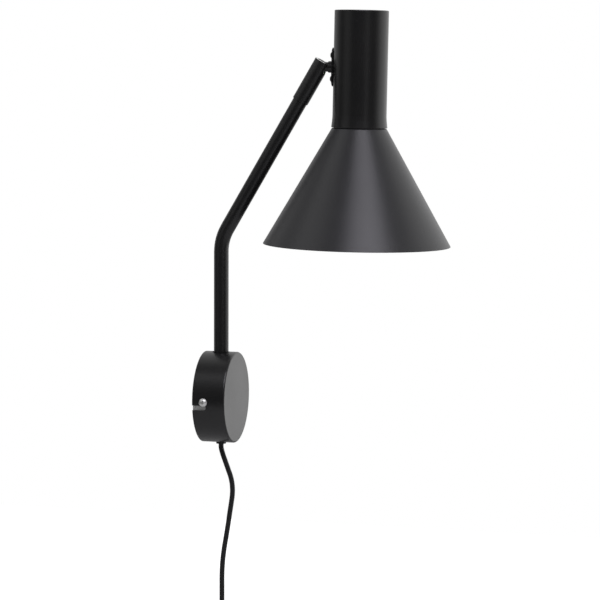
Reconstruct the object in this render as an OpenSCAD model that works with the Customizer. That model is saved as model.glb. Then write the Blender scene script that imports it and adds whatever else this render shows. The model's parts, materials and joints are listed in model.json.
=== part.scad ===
// Plug-in swing arm wall lamp: canopy, bent arm, slotted ball knuckle, lamp housing and cone shade.
// X points out of the wall, Y along it and Z up. The wall is the plane X = 0.

/* [Canopy] */
// Outside diameter of the round canopy
canopy_d = 89; // [80:0.5:110]
// How far the canopy stands off the wall
canopy_depth = 32; // [30:0.5:45]
// Sheet thickness of the canopy
canopy_wall = 1.2; // [0.8:0.1:1.6]
// Radius of the canopy's front edge
canopy_edge_r = 1.6; // [1:0.1:4]
// Distance of the locking screws from the wall
lock_x = 11; // [8:0.5:16]
// Drop of the canopy from the entry leg to the seat of each lock slot
lock_drop = 5.6; // [4:0.2:8]
// Width of the lock slots
lock_slot_w = 4.8; // [4.4:0.1:6]
// Thread diameter of the locking screws
lock_screw_d = 4; // [3:0.5:4]

/* [Wall bracket] */
// Width of the bracket strap
strap_w = 20; // [16:1:26]
// Thickness of the bracket strap
strap_t = 1.5; // [1.2:0.1:2]
// Distance between the two wall screws
wall_screw_spacing = 60; // [48:1:62]
// Width of the slots for the wall screws
wall_slot_w = 4.5; // [4:0.1:5.5]
// Length of the slots for the wall screws
wall_slot_l = 10; // [7:0.5:12]

/* [Arm] */
// Outside diameter of the arm tube
tube_d = 14.4; // [12:0.2:16]
// Wall thickness of the arm tube
tube_wall = 1; // [0.8:0.1:1.5]
// Height of the bend above the canopy's centre
bend_h = 155; // [110:1:220]
// Radius of the bend at the tube's centreline
bend_r = 45; // [30:1:80]
// Angle between the upper arm and plumb
arm_slant = 30.4; // [20:0.2:40]
// Length of the upper arm from the bend to the knuckle's centre
slant_len = 194; // [150:1:260]

/* [Swivel] */
// Depth of the swivel shelf below the canopy's rim
shelf_depth = 12.5; // [11:0.5:16]
// Thread diameter of the arm's spigot
spigot_d = 10; // [9:0.5:10]
// Farthest the arm swings to each side
swing_limit = 50; // [30:1:65]
// Running clearance of the arm in its bush and its shelf, on the radius
swivel_gap = 0.05; // [0.03:0.01:0.1]

/* [Knuckle] */
// Wall of the slotted barrel round the tube's end
barrel_wall = 0.8; // [0.6:0.1:1.6]
// Length of the barrel
barrel_len = 44; // [36:1:60]
// Reach of the barrel past the ball's centre
barrel_lip = 6; // [5:0.1:6.4]
// Wall of the barrel round the ball
socket_wall = 1.4; // [1.2:0.1:2]
// Running clearance round the ball, on the radius
ball_gap = 0.08; // [0.03:0.01:0.1]
// How much thinner the neck is than the ball
neck_step = 3.8; // [3.4:0.1:5]
// Diameter of the collar between neck and head
collar_d = 11.1; // [10:0.1:14]
// How much thinner the neck's thread is than the neck
thread_step = 1.2; // [1:0.1:2]

/* [Head] */
// Distance of the mounting plate from the ball's centre
plate_reach = 12.6; // [12:0.1:18]
// Thickness of the mounting plate
plate_t = 1.5; // [1:0.1:2]
// Width of the mounting plate
plate_w = 12; // [11:0.5:16]
// Height of the mounting plate
plate_h = 37; // [32:0.5:46]
// Distance between the two plate screws
plate_screw_spacing = 22.5; // [20:0.5:24]
// Outside diameter of the lamp housing
housing_d = 51.7; // [50:0.1:58]
// Length of the lamp housing above the knuckle's centre
housing_up = 54.1; // [40:0.1:80]
// Length of the lamp housing below the knuckle's centre
housing_down = 57.2; // [57:0.1:62]
// Sheet thickness of the lamp housing
housing_wall = 1.2; // [0.8:0.1:1.4]
// How far the housing's mouth flares, on the radius
housing_flare = 1; // [0:0.1:1.2]
// How far the head stands out of plumb
head_lean = 0.9; // [0:0.1:2]

/* [Shade] */
// Outside diameter of the shade's rim
shade_d = 180; // [150:1:200]
// Height of the shade
shade_h = 111.5; // [106:0.5:130]
// How far the shade's top stands out past the housing
shade_step = 0.65; // [0.4:0.05:3]
// Sheet thickness of the shade
shade_wall = 0.8; // [0.6:0.1:1.5]
// Gap between the housing and the shade
shade_gap = 0.6; // [0.4:0.1:1.5]

/* [Bulb] */
// Diameter of the bulb's globe
bulb_d = 60; // [45:1:62]
// Length of the bulb with its cap
bulb_len = 104; // [98:1:108]

/* [Cord] */
// Diameter of the power cord
cord_d = 5; // [4:0.1:5.2]
// Width of the inline switch
switch_w = 26; // [24:1:32]
// Thickness of the inline switch
switch_t = 18; // [17:0.5:22]
// Tilt of the rocker to each side
rocker_tilt = 8; // [5:0.5:9]
// Radius of the spare cord's coil at the middle of its turns
coil_r = 25; // [25:0.5:30]
// Turns that lie side by side in the coil
coil_rows = 4; // [3:1:5]
// Layers of turns in the coil
coil_layers = 3; // [2:1:3]
// Distance between neighbouring turns
coil_pitch = 5.1; // [5:0.1:6]

/* [Hidden] */
$fn = 64;

// Small overlap that makes a cut run clear through a face
cut = 0.5;
// Gap between faces that slide on each other
face_gap = 0.05;
lead_d = 5;
core_d = 1.8;

// Canopy and wall bracket
canopy_r = canopy_d / 2;
canopy_in_r = canopy_r - canopy_wall;
front_x = canopy_depth - canopy_wall;
arm_x = canopy_depth / 2;
lock_head_d = 8;
lock_head_h = 2.6;
tab_y = sqrt(pow(canopy_in_r, 2) - pow(strap_w / 2, 2)) - 0.4;
tab_x = lock_x + 6;

// Strain-relief bush in the canopy's lowest point
cord_bush_d = 7.6;
cord_bush_flange_d = 9.7;
cord_bush_barb_d = 9.4;
cord_bush_nose = canopy_r + 1.7;
cord_bush_l = 6.8;

// Swivel stack, from the top down
bush_d = tube_d + 3.4;
bush_flange_d = tube_d + 7.4;
bush_top = sqrt(pow(canopy_r, 2) - pow(bush_d / 2, 2)) - 0.1;
bush_flange_top = sqrt(pow(canopy_in_r, 2) - pow(bush_flange_d / 2, 2)) - 0.05;
bush_flange_t = 1.5;
shelf_t = 2;
shelf_top = canopy_r - shelf_depth;
shelf_under = shelf_top - shelf_t;
shelf_half_w = 15;
thrust_t = 1;
arm_foot = shelf_top + thrust_t + face_gap;
stop_t = 1.6;
stop_top = shelf_under - face_gap;
wave_t = 1.2;
nut_t = 4.6;
nut_top = stop_top - stop_t - wave_t;
nut_flats = 14;
wave_d = 17;
thrust_d = 18;
stop_d = 19;
spigot_end = nut_top - nut_t - 1;
spigot_plug_l = 15;
stop_tab_r = 14;
stop_in_r = 11;
stop_half_w = 2;
lug_l = 3.5;
shelf_back = 3;
shelf_skirt = 16;
lug_angle = swing_limit + 2 * asin(stop_half_w / stop_in_r) + 1;
wire_bore_d = 6.4;

// Terminal block
block_top_x = 18;
block_half_y = 10;
block_half_z = 9;
pole_y = 4.5;
pole_x = 12;
pole_d = 5;
pole_bore_d = 2.6;
pole_half_l = 7.5;
clamp_z = 4.5;
clamp_d = 2.5;
clamp_head_d = 3.6;
block_screw_z = 5.5;
block_screw_d = 2.5;

// Arm
bend_t = bend_r * tan(arm_slant / 2);
pivot = [arm_x + slant_len * sin(arm_slant), 0, bend_h + slant_len * cos(arm_slant)];
socket_len = 20;
barrel_d = tube_d + 2 * barrel_wall;
ball_d = barrel_d - 2 * (socket_wall + ball_gap);
neck_d = ball_d - neck_step;
neck_thread_d = neck_d - thread_step;
collar_from = barrel_d / 2 + 0.8;
ball_r = ball_d / 2;
chamber_r = ball_r + ball_gap;
mouth_r = ball_r - 1.1;
tube_end = barrel_len - barrel_lip - socket_len;
seat_top = 3.2;
seat_bottom = 9.5;
seat_bore_r = 3.2;
barrel_screw_d = 3;
neck_bore_d = lead_d + 0.4;
neck_washer_d = 12.5;
neck_washer_t = 1;
neck_nut_flats = 13;
neck_slot_r = neck_d / 2 + 0.3;

// Head, measured from the ball's centre
housing_r = housing_d / 2;
housing_in_r = housing_r - housing_wall;
head_x = plate_reach + plate_t + housing_r;
leg_half_w = 7;
leg_t = 2;
leg_x = head_x - sqrt(pow(housing_in_r, 2) - pow(leg_half_w, 2)) + 0.02;
neck_nut_x = leg_x + leg_t + neck_washer_t + face_gap;
neck_nut_t = 4;
neck_end = neck_nut_x + neck_nut_t + 1.5;
plate_screw_d = 4;
plate_head_d = 6.8;
plate_head_h = 2.6;
holder_shelf_z = -20;
nipple_d = 10;
shade_top = -housing_down - shade_gap;
shade_rim = shade_top - shade_h;
shade_top_d = housing_d + 2 * shade_step;
housing_edge_r = 0.9;
ring_seat_r = 20.2;
ring_h = 7;
ring_r = 23.4;
ring_flange_r = 24.4;
holder_r = 20;
holder_bore_r = 15.2;
holder_skirt = 17;
holder_rise = 12;
shell_r = 13.9;
shell_t = 0.8;
shell_h = 21;
shell_bead_r = 0.45;
shell_bead_h = 0.4;
bead_pitch = 3.6;
cap_r = 12.4;
cap_h = 25;
cap_bead_r = 0.75;
collar_h = 25;
globe_wall = 1.5;
shell_top = shade_top + 8;
holder_roof = shade_top + 8;
contact_roof = shade_top + 10.2;
bulb_top = holder_roof - 0.4;
bulb_end = bulb_top - bulb_len;

// Inline switch and plug
switch_top = -215;
switch_l = 60;
switch_mid = switch_top - switch_l / 2;
cord_x = 17;
switch_front = cord_x + switch_t / 2;
switch_back = cord_x - switch_t / 2;
switch_corner_r = 9;
switch_wall = 2;
switch_hollow_w = 18;
switch_hollow_l = 34;
switch_screw_y = 7;
switch_screw_z = 20;
switch_screw_d = 2.6;
switch_sink_d = 5;
switch_sink = 2.5;
axle_d = 2.4;
axle_l = 15;
axle_gap = 0.06;
rocker_x = switch_front - 4;
rocker_half_l = 8.3;
rocker_half_w = 5;
window_half_l = 9.2;
plug_w = 35.3;
plug_t = 13.7;
plug_l = 36;
boot_l = 14;
pin_d = 4;
pin_l = 19;
pin_spacing = 18.6;
pin_root_d = 3;
pin_root_l = 9.5;

// Coil of spare cord
coil_z = -331;
coil_out_r = coil_r + (coil_layers - 1) * coil_pitch / 2 + cord_d / 2;
coil_in_r = coil_r - (coil_layers - 1) * coil_pitch / 2 - cord_d / 2;
coil_w = (coil_rows - 1) * coil_pitch + cord_d;

// Routes of the free cord
cord_route = [
    [16, 0, -46.2], [16, 0, -50], [17.5, 0, -56], [20, 0, -63], [23.3, 0, -72], [26.1, 0, -80],
    [27.5, 0, -88], [27.6, 0, -96], [26.5, 0, -105], [25.1, 0, -114], [23.8, 0, -123], [22.4, 0, -132],
    [20.9, 0, -141], [19.4, 0, -150], [18.1, 0, -160], [17.3, 0, -170], [17, 0, -180], [17, 0, -190],
    [17, 0, -202], [17, 0, -215]
];
coil_lead_route = [
    [17, 0, -275], [17, 0, -280], [16.5, -0.3, -285.5], [15, -1.5, -291.5], [12.8, -4.2, -297],
    [10.6, -8.2, -301], [9.35, -13, -303.9]
];
plug_route = [
    [26.2, -19, -322], [28, -20.1, -328], [29.4, -20.2, -335], [29.8, -20.2, -343], [29.8, -20.2, -352],
    [29.8, -20.2, -361]
];
plug_x = 29.8;
plug_y = -20.2;
plug_top = -361;

function unit(v) = v / norm(v);
function heading(path, i) = unit(path[min(i + 1, len(path) - 1)] - path[max(i - 1, 0)]);
function ease(t) = 3 * t * t - 2 * t * t * t;

// A tube of flat-sided rings along a path that never runs parallel to side_dir
module swept_tube(path, d, sides, side_dir) {
    rings = [
        for (i = [0:len(path) - 1])
            let (t = heading(path, i), u = unit(cross(t, side_dir)), v = cross(t, u))
            for (k = [0:sides - 1])
                path[i] + d / 2 * (cos(360 * k / sides) * u + sin(360 * k / sides) * v)
    ];
    walls = [
        for (i = [0:len(path) - 2])
            for (k = [0:sides - 1])
                let (a = i * sides + k, b = i * sides + (k + 1) % sides)
                [a, a + sides, b + sides, b]
    ];
    first_end = [for (k = [0:sides - 1]) k];
    last_end = [for (k = [sides - 1:-1:0]) (len(path) - 1) * sides + k];
    polyhedron(points = rings, faces = concat([first_end], walls, [last_end]), convexity = 6);
}

// A round bar between two points
module rod(from, to, d) {
    v = to - from;
    translate(from) rotate([0, acos(v[2] / norm(v)), atan2(v[1], v[0])]) cylinder(h = norm(v), d = d);
}

// A ring or washer standing on z = 0
module ring(outer_d, inner_d, h) {
    difference() {
        cylinder(h = h, d = outer_d);
        translate([0, 0, -cut]) cylinder(h = h + 2 * cut, d = inner_d);
    }
}

// A hexagon nut standing on z = 0
module hex_nut(across_flats, bore_d, h) {
    difference() {
        cylinder(h = h, d = across_flats / cos(30), $fn = 6);
        translate([0, 0, -cut]) cylinder(h = h + 2 * cut, d = bore_d);
    }
}

// A pan-head screw with a cross recess, its head above z = 0 and its shank below
module pan_screw(head_d, head_h, shank_d, shank_l) {
    dome_r = (pow(head_d / 2, 2) + pow(head_h, 2)) / (2 * head_h) + 0.6;
    translate([0, 0, -shank_l]) cylinder(h = shank_l, d = shank_d);
    difference() {
        intersection() {
            cylinder(h = head_h, d = head_d);
            translate([0, 0, head_h - dome_r]) sphere(r = dome_r);
        }
        for (a = [0, 90])
            rotate([0, 0, a]) translate([-head_d * 0.28, -head_d * 0.07, head_h * 0.45])
                cube([head_d * 0.56, head_d * 0.14, head_h]);
    }
}

// Half-section of a cup: open at z = 0, closed at z = h, with a rounded edge
module cup_section(r, h, wall, edge) {
    difference() {
        union() {
            square([r - edge, h]);
            square([r, h - edge]);
            translate([r - edge, h - edge]) circle(r = edge);
        }
        translate([-cut, -cut]) square([r - wall + cut, h - wall + cut]);
    }
}

// A flat outline w by h with corners of radius r, centred
module rounded_outline(w, h, r) {
    square([w - 2 * r, h], center = true);
    square([w, h - 2 * r], center = true);
    for (x = [-1, 1])
        for (y = [-1, 1])
            translate([x * (w / 2 - r), y * (h / 2 - r)]) circle(r = r);
}

// Places children at the bend, with z along the upper arm
module at_bend() {
    translate([arm_x, 0, bend_h]) rotate([0, arm_slant, 0]) children();
}

// Places children at the ball's centre, with z along the upper arm
module at_tip() {
    translate(pivot) rotate([0, arm_slant, 0]) children();
}

// Places children at the ball's centre, with x along the neck
module at_head() {
    translate(pivot) rotate([0, head_lean, 0]) children();
}

// Places children on the lamp housing's axis
module on_head_axis() {
    at_head() translate([head_x, 0, 0]) children();
}

// A bar of diameter d that follows the arm from height foot to top before the ball's centre.
// The straight runs reach a little into the bend, which is a hair thinner than they are.
module bent_bar(d, foot, top) {
    lap = 0.5;
    translate([arm_x, 0, foot]) cylinder(h = bend_h - bend_t - foot + lap, d = d);
    translate([arm_x + bend_r, 0, bend_h - bend_t]) rotate([90, 0, 0]) rotate([0, 0, 180 - arm_slant])
        rotate_extrude(angle = arm_slant) translate([bend_r, 0]) circle(d = d - 0.1);
    at_bend() translate([0, 0, bend_t - lap]) cylinder(h = slant_len - bend_t - top + lap, d = d);
}

// One L-shaped lock slot through the canopy's side
module lock_slot(side) {
    reach = canopy_wall + 3;
    y0 = side > 0 ? canopy_r - reach : -canopy_r - cut;
    translate([-cut, y0, -lock_drop - lock_slot_w / 2]) cube([lock_x + cut, reach + cut, lock_slot_w]);
    translate([lock_x - lock_slot_w / 2, y0, -lock_drop]) cube([lock_slot_w, reach + cut, lock_drop]);
    for (z = [-lock_drop, 0])
        translate([lock_x, y0, z]) rotate([-90, 0, 0]) cylinder(h = reach + cut, d = lock_slot_w);
}

module canopy_shell() {
    color("#202022") difference() {
        rotate([0, 90, 0]) rotate_extrude($fn = 128)
            cup_section(canopy_r, canopy_depth, canopy_wall, canopy_edge_r);
        for (side = [-1, 1]) lock_slot(side);
        translate([arm_x, 0, 0]) cylinder(h = canopy_r + cut, d = bush_d);
        translate([arm_x, 0, -canopy_r - cut]) cylinder(h = canopy_r, d = cord_bush_d);
    }
}

module wall_bracket() {
    color("#b9bcc0") difference() {
        union() {
            translate([0, -tab_y, -strap_w / 2]) cube([strap_t, 2 * tab_y, strap_w]);
            for (side = [-1, 1])
                translate([0, side > 0 ? tab_y - strap_t : -tab_y, -strap_w / 2])
                    cube([tab_x, strap_t, strap_w]);
        }
        for (side = [-1, 1]) {
            for (end = [-1, 1])
                translate([-cut, side * wall_screw_spacing / 2 + end * (wall_slot_l - wall_slot_w) / 2, 0])
                    rotate([0, 90, 0]) cylinder(h = strap_t + 2 * cut, d = wall_slot_w);
            translate([-cut, side * wall_screw_spacing / 2 - (wall_slot_l - wall_slot_w) / 2,
                       -wall_slot_w / 2])
                cube([strap_t + 2 * cut, wall_slot_l - wall_slot_w, wall_slot_w]);
            translate([-cut, 0, side * block_screw_z]) rotate([0, 90, 0])
                cylinder(h = strap_t + 2 * cut, d = block_screw_d);
        }
        translate([lock_x, -tab_y - cut, 0]) rotate([-90, 0, 0])
            cylinder(h = 2 * tab_y + 2 * cut, d = lock_screw_d);
    }
}

module locking_screws() {
    color("#d0d2d4") for (side = [-1, 1])
        translate([lock_x, side * (canopy_r + face_gap), 0]) rotate([-side * 90, 0, 0])
            pan_screw(lock_head_d, lock_head_h, lock_screw_d, 8);
}

module cord_bush() {
    color("#18181a") difference() {
        union() {
            difference() {
                translate([arm_x, 0, -cord_bush_nose])
                    cylinder(h = cord_bush_nose - canopy_r + 1, d = cord_bush_flange_d);
                rotate([0, 90, 0]) cylinder(h = canopy_depth, r = canopy_r + face_gap, $fn = 128);
            }
            translate([arm_x, 0, -canopy_r - 1]) cylinder(h = cord_bush_l, d = cord_bush_d);
            translate([arm_x, 0, -canopy_in_r + 0.35])
                cylinder(h = 1.2, d1 = cord_bush_barb_d, d2 = cord_bush_d);
        }
        translate([arm_x, 0, -cord_bush_nose - cut]) cylinder(h = 20, d = cord_d + 0.1);
    }
}

module swivel_bracket() {
    color("#9a9da1") difference() {
        union() {
            translate([shelf_back, -shelf_half_w, shelf_under])
                cube([front_x - shelf_back, 2 * shelf_half_w, shelf_t]);
            translate([front_x - shelf_t, -shelf_half_w, shelf_under - shelf_skirt])
                cube([shelf_t, 2 * shelf_half_w, shelf_skirt + shelf_t]);
            translate([arm_x, 0, 0]) for (side = [-1, 1])
                rotate([0, 0, 180 + side * lug_angle])
                    translate([stop_in_r, -stop_half_w, shelf_under - lug_l])
                        cube([stop_tab_r - stop_in_r, 2 * stop_half_w, lug_l + cut]);
        }
        translate([arm_x, 0, shelf_under - cut])
            cylinder(h = shelf_t + 2 * cut, d = spigot_d + 2 * swivel_gap);
    }
}

module swivel_bush() {
    color("#1c1c1e") translate([arm_x, 0, 0]) difference() {
        union() {
            translate([0, 0, bush_flange_top - bush_flange_t]) cylinder(h = bush_flange_t, d = bush_flange_d);
            translate([0, 0, bush_flange_top]) cylinder(h = bush_top - bush_flange_top, d = bush_d);
        }
        cylinder(h = canopy_r, d = tube_d + 2 * swivel_gap);
    }
}

module thrust_washer() {
    color("#e8e6df") translate([arm_x, 0, shelf_top]) ring(thrust_d, spigot_d + 2 * swivel_gap, thrust_t);
}

module terminal_block() {
    color("#e9e7e0") difference() {
        translate([strap_t, -block_half_y, -block_half_z])
            cube([block_top_x - strap_t, 2 * block_half_y, 2 * block_half_z]);
        for (y = [-pole_y, pole_y]) {
            translate([pole_x, y, -block_half_z - cut]) cylinder(h = 2 * block_half_z + 2 * cut, d = pole_d);
            for (z = [-clamp_z, clamp_z])
                translate([pole_x, y, z]) rotate([0, 90, 0]) cylinder(h = block_top_x, d = clamp_head_d + 0.4);
        }
        for (side = [-1, 1]) {
            translate([0, 0, side * block_screw_z]) rotate([0, 90, 0])
                cylinder(h = block_top_x + cut, d = block_screw_d);
            translate([block_top_x - 2, 0, side * block_screw_z]) rotate([0, 90, 0])
                cylinder(h = 3, d = clamp_head_d);
        }
    }
}

module terminal_barrels() {
    color("#c9a54a") for (y = [-pole_y, pole_y])
        translate([pole_x, y, 0]) difference() {
            cylinder(h = 2 * pole_half_l, d = pole_d, center = true);
            cylinder(h = 2 * pole_half_l + 2 * cut, d = pole_bore_d, center = true);
            for (z = [-clamp_z, clamp_z])
                translate([0, 0, z]) rotate([0, 90, 0]) cylinder(h = pole_d / 2 + cut, d = clamp_d);
        }
}

module terminal_screws() {
    color("#d8c07a") for (y = [-pole_y, pole_y])
        for (z = [-clamp_z, clamp_z])
            translate([pole_x + 1.3, y, z]) rotate([0, 90, 0]) difference() {
                union() {
                    cylinder(h = 1.6, d = clamp_d);
                    translate([0, 0, 1.3]) cylinder(h = 1.7, d = clamp_head_d);
                }
                translate([-2, -0.3, 2.3]) cube([4, 0.6, 1]);
            }
}

module block_screws() {
    color("#b9bcc0") for (side = [-1, 1])
        translate([0.2, 0, side * block_screw_z]) rotate([0, 90, 0]) difference() {
            union() {
                cylinder(h = block_top_x - 2, d = block_screw_d);
                translate([0, 0, block_top_x - 2.2]) cylinder(h = 1.4, d = clamp_head_d);
            }
            translate([-2, -0.3, block_top_x - 1.4]) cube([4, 0.6, 1]);
        }
}

// Two bare-ended cores from a lead's end to the terminal block
module cores(z_from, z_to) {
    for (side = [-1, 1])
        rod([pole_x, side * 1.2, z_from], [pole_x, side * pole_y, z_to], core_d);
}

module inlet_lead() {
    rise = -block_half_z - 6 + canopy_r - 6;
    color("#161618") {
        translate([arm_x, 0, -cord_bush_nose]) cylinder(h = cord_bush_nose - canopy_r + 6, d = cord_d);
        swept_tube([for (t = [0:0.1:1]) [arm_x + (pole_x - arm_x) * ease(t), 0, 6 - canopy_r + rise * t]],
                   cord_d, 12, [0, 1, 0]);
        cores(-block_half_z - 6.4, -block_half_z + 3);
    }
}

module link_lead() {
    low = block_half_z + 5;
    high = spigot_end - 0.4;
    color("#e4e2dc") {
        swept_tube([for (t = [0:0.1:1]) [pole_x + (arm_x - pole_x) * ease(t), 0, low + (high - low) * t]],
                   lead_d, 12, [0, 1, 0]);
        cores(low + 0.5, block_half_z - 3);
    }
}

module power_cord() {
    color("#18181a") swept_tube(cord_route, cord_d, 8, [0, 1, 0]);
}

module coil_lead() {
    color("#18181a") swept_tube(coil_lead_route, cord_d, 8, [1, 0, 0.01]);
}

module plug_lead() {
    color("#18181a") swept_tube(plug_route, cord_d, 8, [0, 1, 0]);
}

module coil_solid(grow) {
    translate([cord_x, 0, coil_z]) rotate([0, 90, 0]) rotate_extrude()
        translate([coil_r, 0])
            rounded_outline(coil_out_r - coil_in_r + 2 * grow, coil_w + 2 * grow, cord_d / 2);
}

module cord_coil() {
    color("#18181a") coil_solid(0);
}

module coil_tie() {
    tie_t = 1.2;
    color("#2a2a2c") translate([cord_x, 0, coil_z]) rotate([-15, 0, 0]) difference() {
        translate([-coil_w / 2 - tie_t, -3, coil_in_r - tie_t])
            cube([coil_w + 2 * tie_t, 6, coil_out_r - coil_in_r + 2 * tie_t]);
        translate([-cord_x, 0, -coil_z]) coil_solid(0.02);
    }
}

// The switch is split along the cord's centreline into a base by the wall and a cover
module switch_half(x_from, x_to, hollow_from, hollow_to, hole_l) {
    difference() {
        translate([x_from, 0, switch_mid]) rotate([90, 0, 90])
            linear_extrude(x_to - x_from) rounded_outline(switch_w, switch_l, switch_corner_r);
        translate([hollow_from, -switch_hollow_w / 2, switch_mid - switch_hollow_l / 2])
            cube([hollow_to - hollow_from, switch_hollow_w, switch_hollow_l]);
        for (side = [-1, 1])
            translate([x_from - cut, side * switch_screw_y, switch_mid + side * switch_screw_z])
                rotate([0, 90, 0]) cylinder(h = hole_l, d = switch_screw_d);
    }
}

module switch_base() {
    color("#1c1c1e") difference() {
        switch_half(switch_back, cord_x, switch_back + switch_wall, cord_x + cut, switch_t / 2 + 2 * cut);
        for (side = [-1, 1])
            translate([switch_back - cut, side * switch_screw_y, switch_mid + side * switch_screw_z])
                rotate([0, 90, 0]) cylinder(h = switch_sink + cut, d = switch_sink_d);
    }
}

module switch_cover() {
    color("#1c1c1e") difference() {
        union() {
            switch_half(cord_x, switch_front, cord_x - cut, switch_front - switch_wall, switch_t / 2 - 2);
            for (side = [-1, 1])
                translate([rocker_x - 2.5, side * (axle_l / 2 - 0.5) - 1, switch_mid - 4]) cube([5, 2, 8]);
        }
        translate([switch_front - 3, -rocker_half_w - 0.4, switch_mid - window_half_l])
            cube([4, 2 * rocker_half_w + 0.8, 2 * window_half_l]);
        translate([rocker_x, 0, switch_mid]) rotate([90, 0, 0])
            cylinder(h = axle_l + 0.6, d = axle_d + 2 * axle_gap, center = true);
    }
}

module switch_screws() {
    color("#9a9da1") for (side = [-1, 1])
        translate([switch_back + switch_sink, side * switch_screw_y, switch_mid + side * switch_screw_z])
            rotate([0, -90, 0]) pan_screw(switch_sink_d - 0.4, 1.8, switch_screw_d, switch_t / 2 + 2);
}

module switch_rocker() {
    profile = [
        [-1.5, -6.5], [2.6, -rocker_half_l], [5.4, -rocker_half_l], [4.4, -4], [4.1, 0],
        [4.4, 4], [5.4, rocker_half_l], [2.6, rocker_half_l], [-1.5, 6.5]
    ];
    color("#28282b") translate([rocker_x, 0, switch_mid]) rotate([90, -rocker_tilt, 0]) {
        linear_extrude(2 * rocker_half_w, center = true) polygon(profile);
        cylinder(h = axle_l, d = axle_d, center = true);
    }
}

module plug_body() {
    half = plug_w / 2;
    color("#1a1a1c") translate([plug_x, plug_y, plug_top]) {
        translate([0, 0, -boot_l]) cylinder(h = boot_l, d1 = 10, d2 = cord_d + 2.2);
        difference() {
            translate([-plug_t / 2, 0, -boot_l]) rotate([90, 0, 90]) linear_extrude(plug_t)
                polygon([[-7, 0], [7, 0], [half - 1, -13], [half, -16], [half, -plug_l], [-half, -plug_l],
                         [-half, -16], [-half + 1, -13]]);
            for (side = [-1, 1])
                translate([0, side * pin_spacing / 2, -boot_l - plug_l - cut])
                    cylinder(h = pin_root_l + 2 * cut, d = pin_root_d);
        }
    }
}

module plug_pins() {
    color("#cfd1d4") for (side = [-1, 1])
        translate([plug_x, plug_y + side * pin_spacing / 2, plug_top - boot_l - plug_l]) {
            translate([0, 0, -pin_l + pin_d / 2]) cylinder(h = pin_l - pin_d / 2, d = pin_d);
            cylinder(h = pin_root_l, d = pin_root_d);
            translate([0, 0, -pin_l + pin_d / 2]) sphere(d = pin_d);
        }
}

module arm_tube() {
    color("#202022") difference() {
        bent_bar(tube_d, arm_foot, tube_end);
        bent_bar(tube_d - 2 * tube_wall, arm_foot - cut, tube_end - cut);
    }
}

module arm_spigot() {
    color("#a8abaf") translate([arm_x, 0, 0]) difference() {
        union() {
            translate([0, 0, arm_foot]) cylinder(h = spigot_plug_l, d = tube_d - 2 * tube_wall);
            translate([0, 0, spigot_end]) cylinder(h = arm_foot - spigot_end, d = spigot_d);
        }
        translate([0, 0, spigot_end - cut])
            cylinder(h = arm_foot - spigot_end + spigot_plug_l + 2 * cut, d = wire_bore_d);
    }
}

module stop_washer() {
    color("#9a9da1") translate([arm_x, 0, stop_top - stop_t]) difference() {
        union() {
            cylinder(h = stop_t, d = stop_d);
            translate([-stop_tab_r + 0.3, -stop_half_w, 0]) cube([stop_tab_r - 6, 2 * stop_half_w, stop_t]);
        }
        translate([0, 0, -cut]) cylinder(h = stop_t + 2 * cut, d = spigot_d);
    }
}

module wave_washer() {
    color("#b9bcc0") translate([arm_x, 0, nut_top]) ring(wave_d, spigot_d, wave_t);
}

module swivel_nut() {
    color("#b9bcc0") translate([arm_x, 0, nut_top - nut_t]) hex_nut(nut_flats, spigot_d, nut_t);
}

module arm_lead() {
    color("#e4e2dc") bent_bar(lead_d, spigot_end, 8.5);
}

module joint_barrel() {
    slot_top = barrel_lip + cut;
    color("#1c1c1e") at_tip() difference() {
        translate([0, 0, barrel_lip - barrel_len]) cylinder(h = barrel_len, d = barrel_d);
        translate([0, 0, barrel_lip - barrel_len - cut]) cylinder(h = socket_len + cut, d = tube_d);
        translate([0, 0, -tube_end]) cylinder(h = tube_end + barrel_lip - 1.5, r = chamber_r);
        cylinder(h = slot_top, r = mouth_r);
        translate([0, -neck_slot_r, 0]) cube([barrel_d, 2 * neck_slot_r, slot_top]);
        rotate([0, 90, 0]) cylinder(h = barrel_d, r = neck_slot_r);
        translate([0, 0, -tube_end - socket_len / 2]) rotate([0, -90, 0])
            cylinder(h = barrel_d, d = barrel_screw_d);
    }
}

module barrel_screw() {
    color("#303033") at_tip() translate([-barrel_d / 2 + 0.1, 0, -tube_end - socket_len / 2])
        rotate([0, 90, 0]) difference() {
            cylinder(h = (barrel_d - tube_d) / 2 - 0.1, d = barrel_screw_d);
            translate([0, 0, -cut]) cylinder(h = cut + 0.4, d = barrel_screw_d / 2, $fn = 6);
        }
}

module ball_seat() {
    color("#ece9e0") at_tip() difference() {
        translate([0, 0, -seat_bottom]) cylinder(h = seat_bottom - seat_top, r = chamber_r - 0.03);
        sphere(r = ball_r + 0.05);
        translate([0, 0, -seat_bottom - cut]) cylinder(h = seat_bottom, r = seat_bore_r);
    }
}

module ball_spring() {
    wire = 1;
    low = -tube_end + wire / 2 + 0.05;
    high = -seat_bottom - wire / 2 - 0.05;
    turns = 4;
    spring_r = chamber_r - wire / 2 - 0.1;
    helix = [
        for (i = [0:turns * 16])
            [spring_r * cos(i * 22.5), spring_r * sin(i * 22.5), low + (high - low) * i / (turns * 16)]
    ];
    color("#c4c6c9") at_tip() swept_tube(helix, wire, 6, [0, 0, 1]);
}

module ball_neck() {
    color("#242426") at_head() difference() {
        union() {
            sphere(r = ball_r);
            rotate([0, 90, 0]) {
                cylinder(h = plate_reach - 0.1, d = neck_d);
                translate([0, 0, collar_from]) cylinder(h = plate_reach - face_gap - collar_from, d = collar_d);
                cylinder(h = neck_end, d = neck_thread_d);
            }
        }
        translate([-ball_r, 0, 0]) rotate([0, 90, 0]) cylinder(h = neck_end + ball_r + cut, d = neck_bore_d);
    }
}

module neck_washer() {
    color("#b9bcc0") at_head() translate([leg_x + leg_t + face_gap, 0, 0]) rotate([0, 90, 0])
        ring(neck_washer_d, neck_thread_d, neck_washer_t);
}

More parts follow.
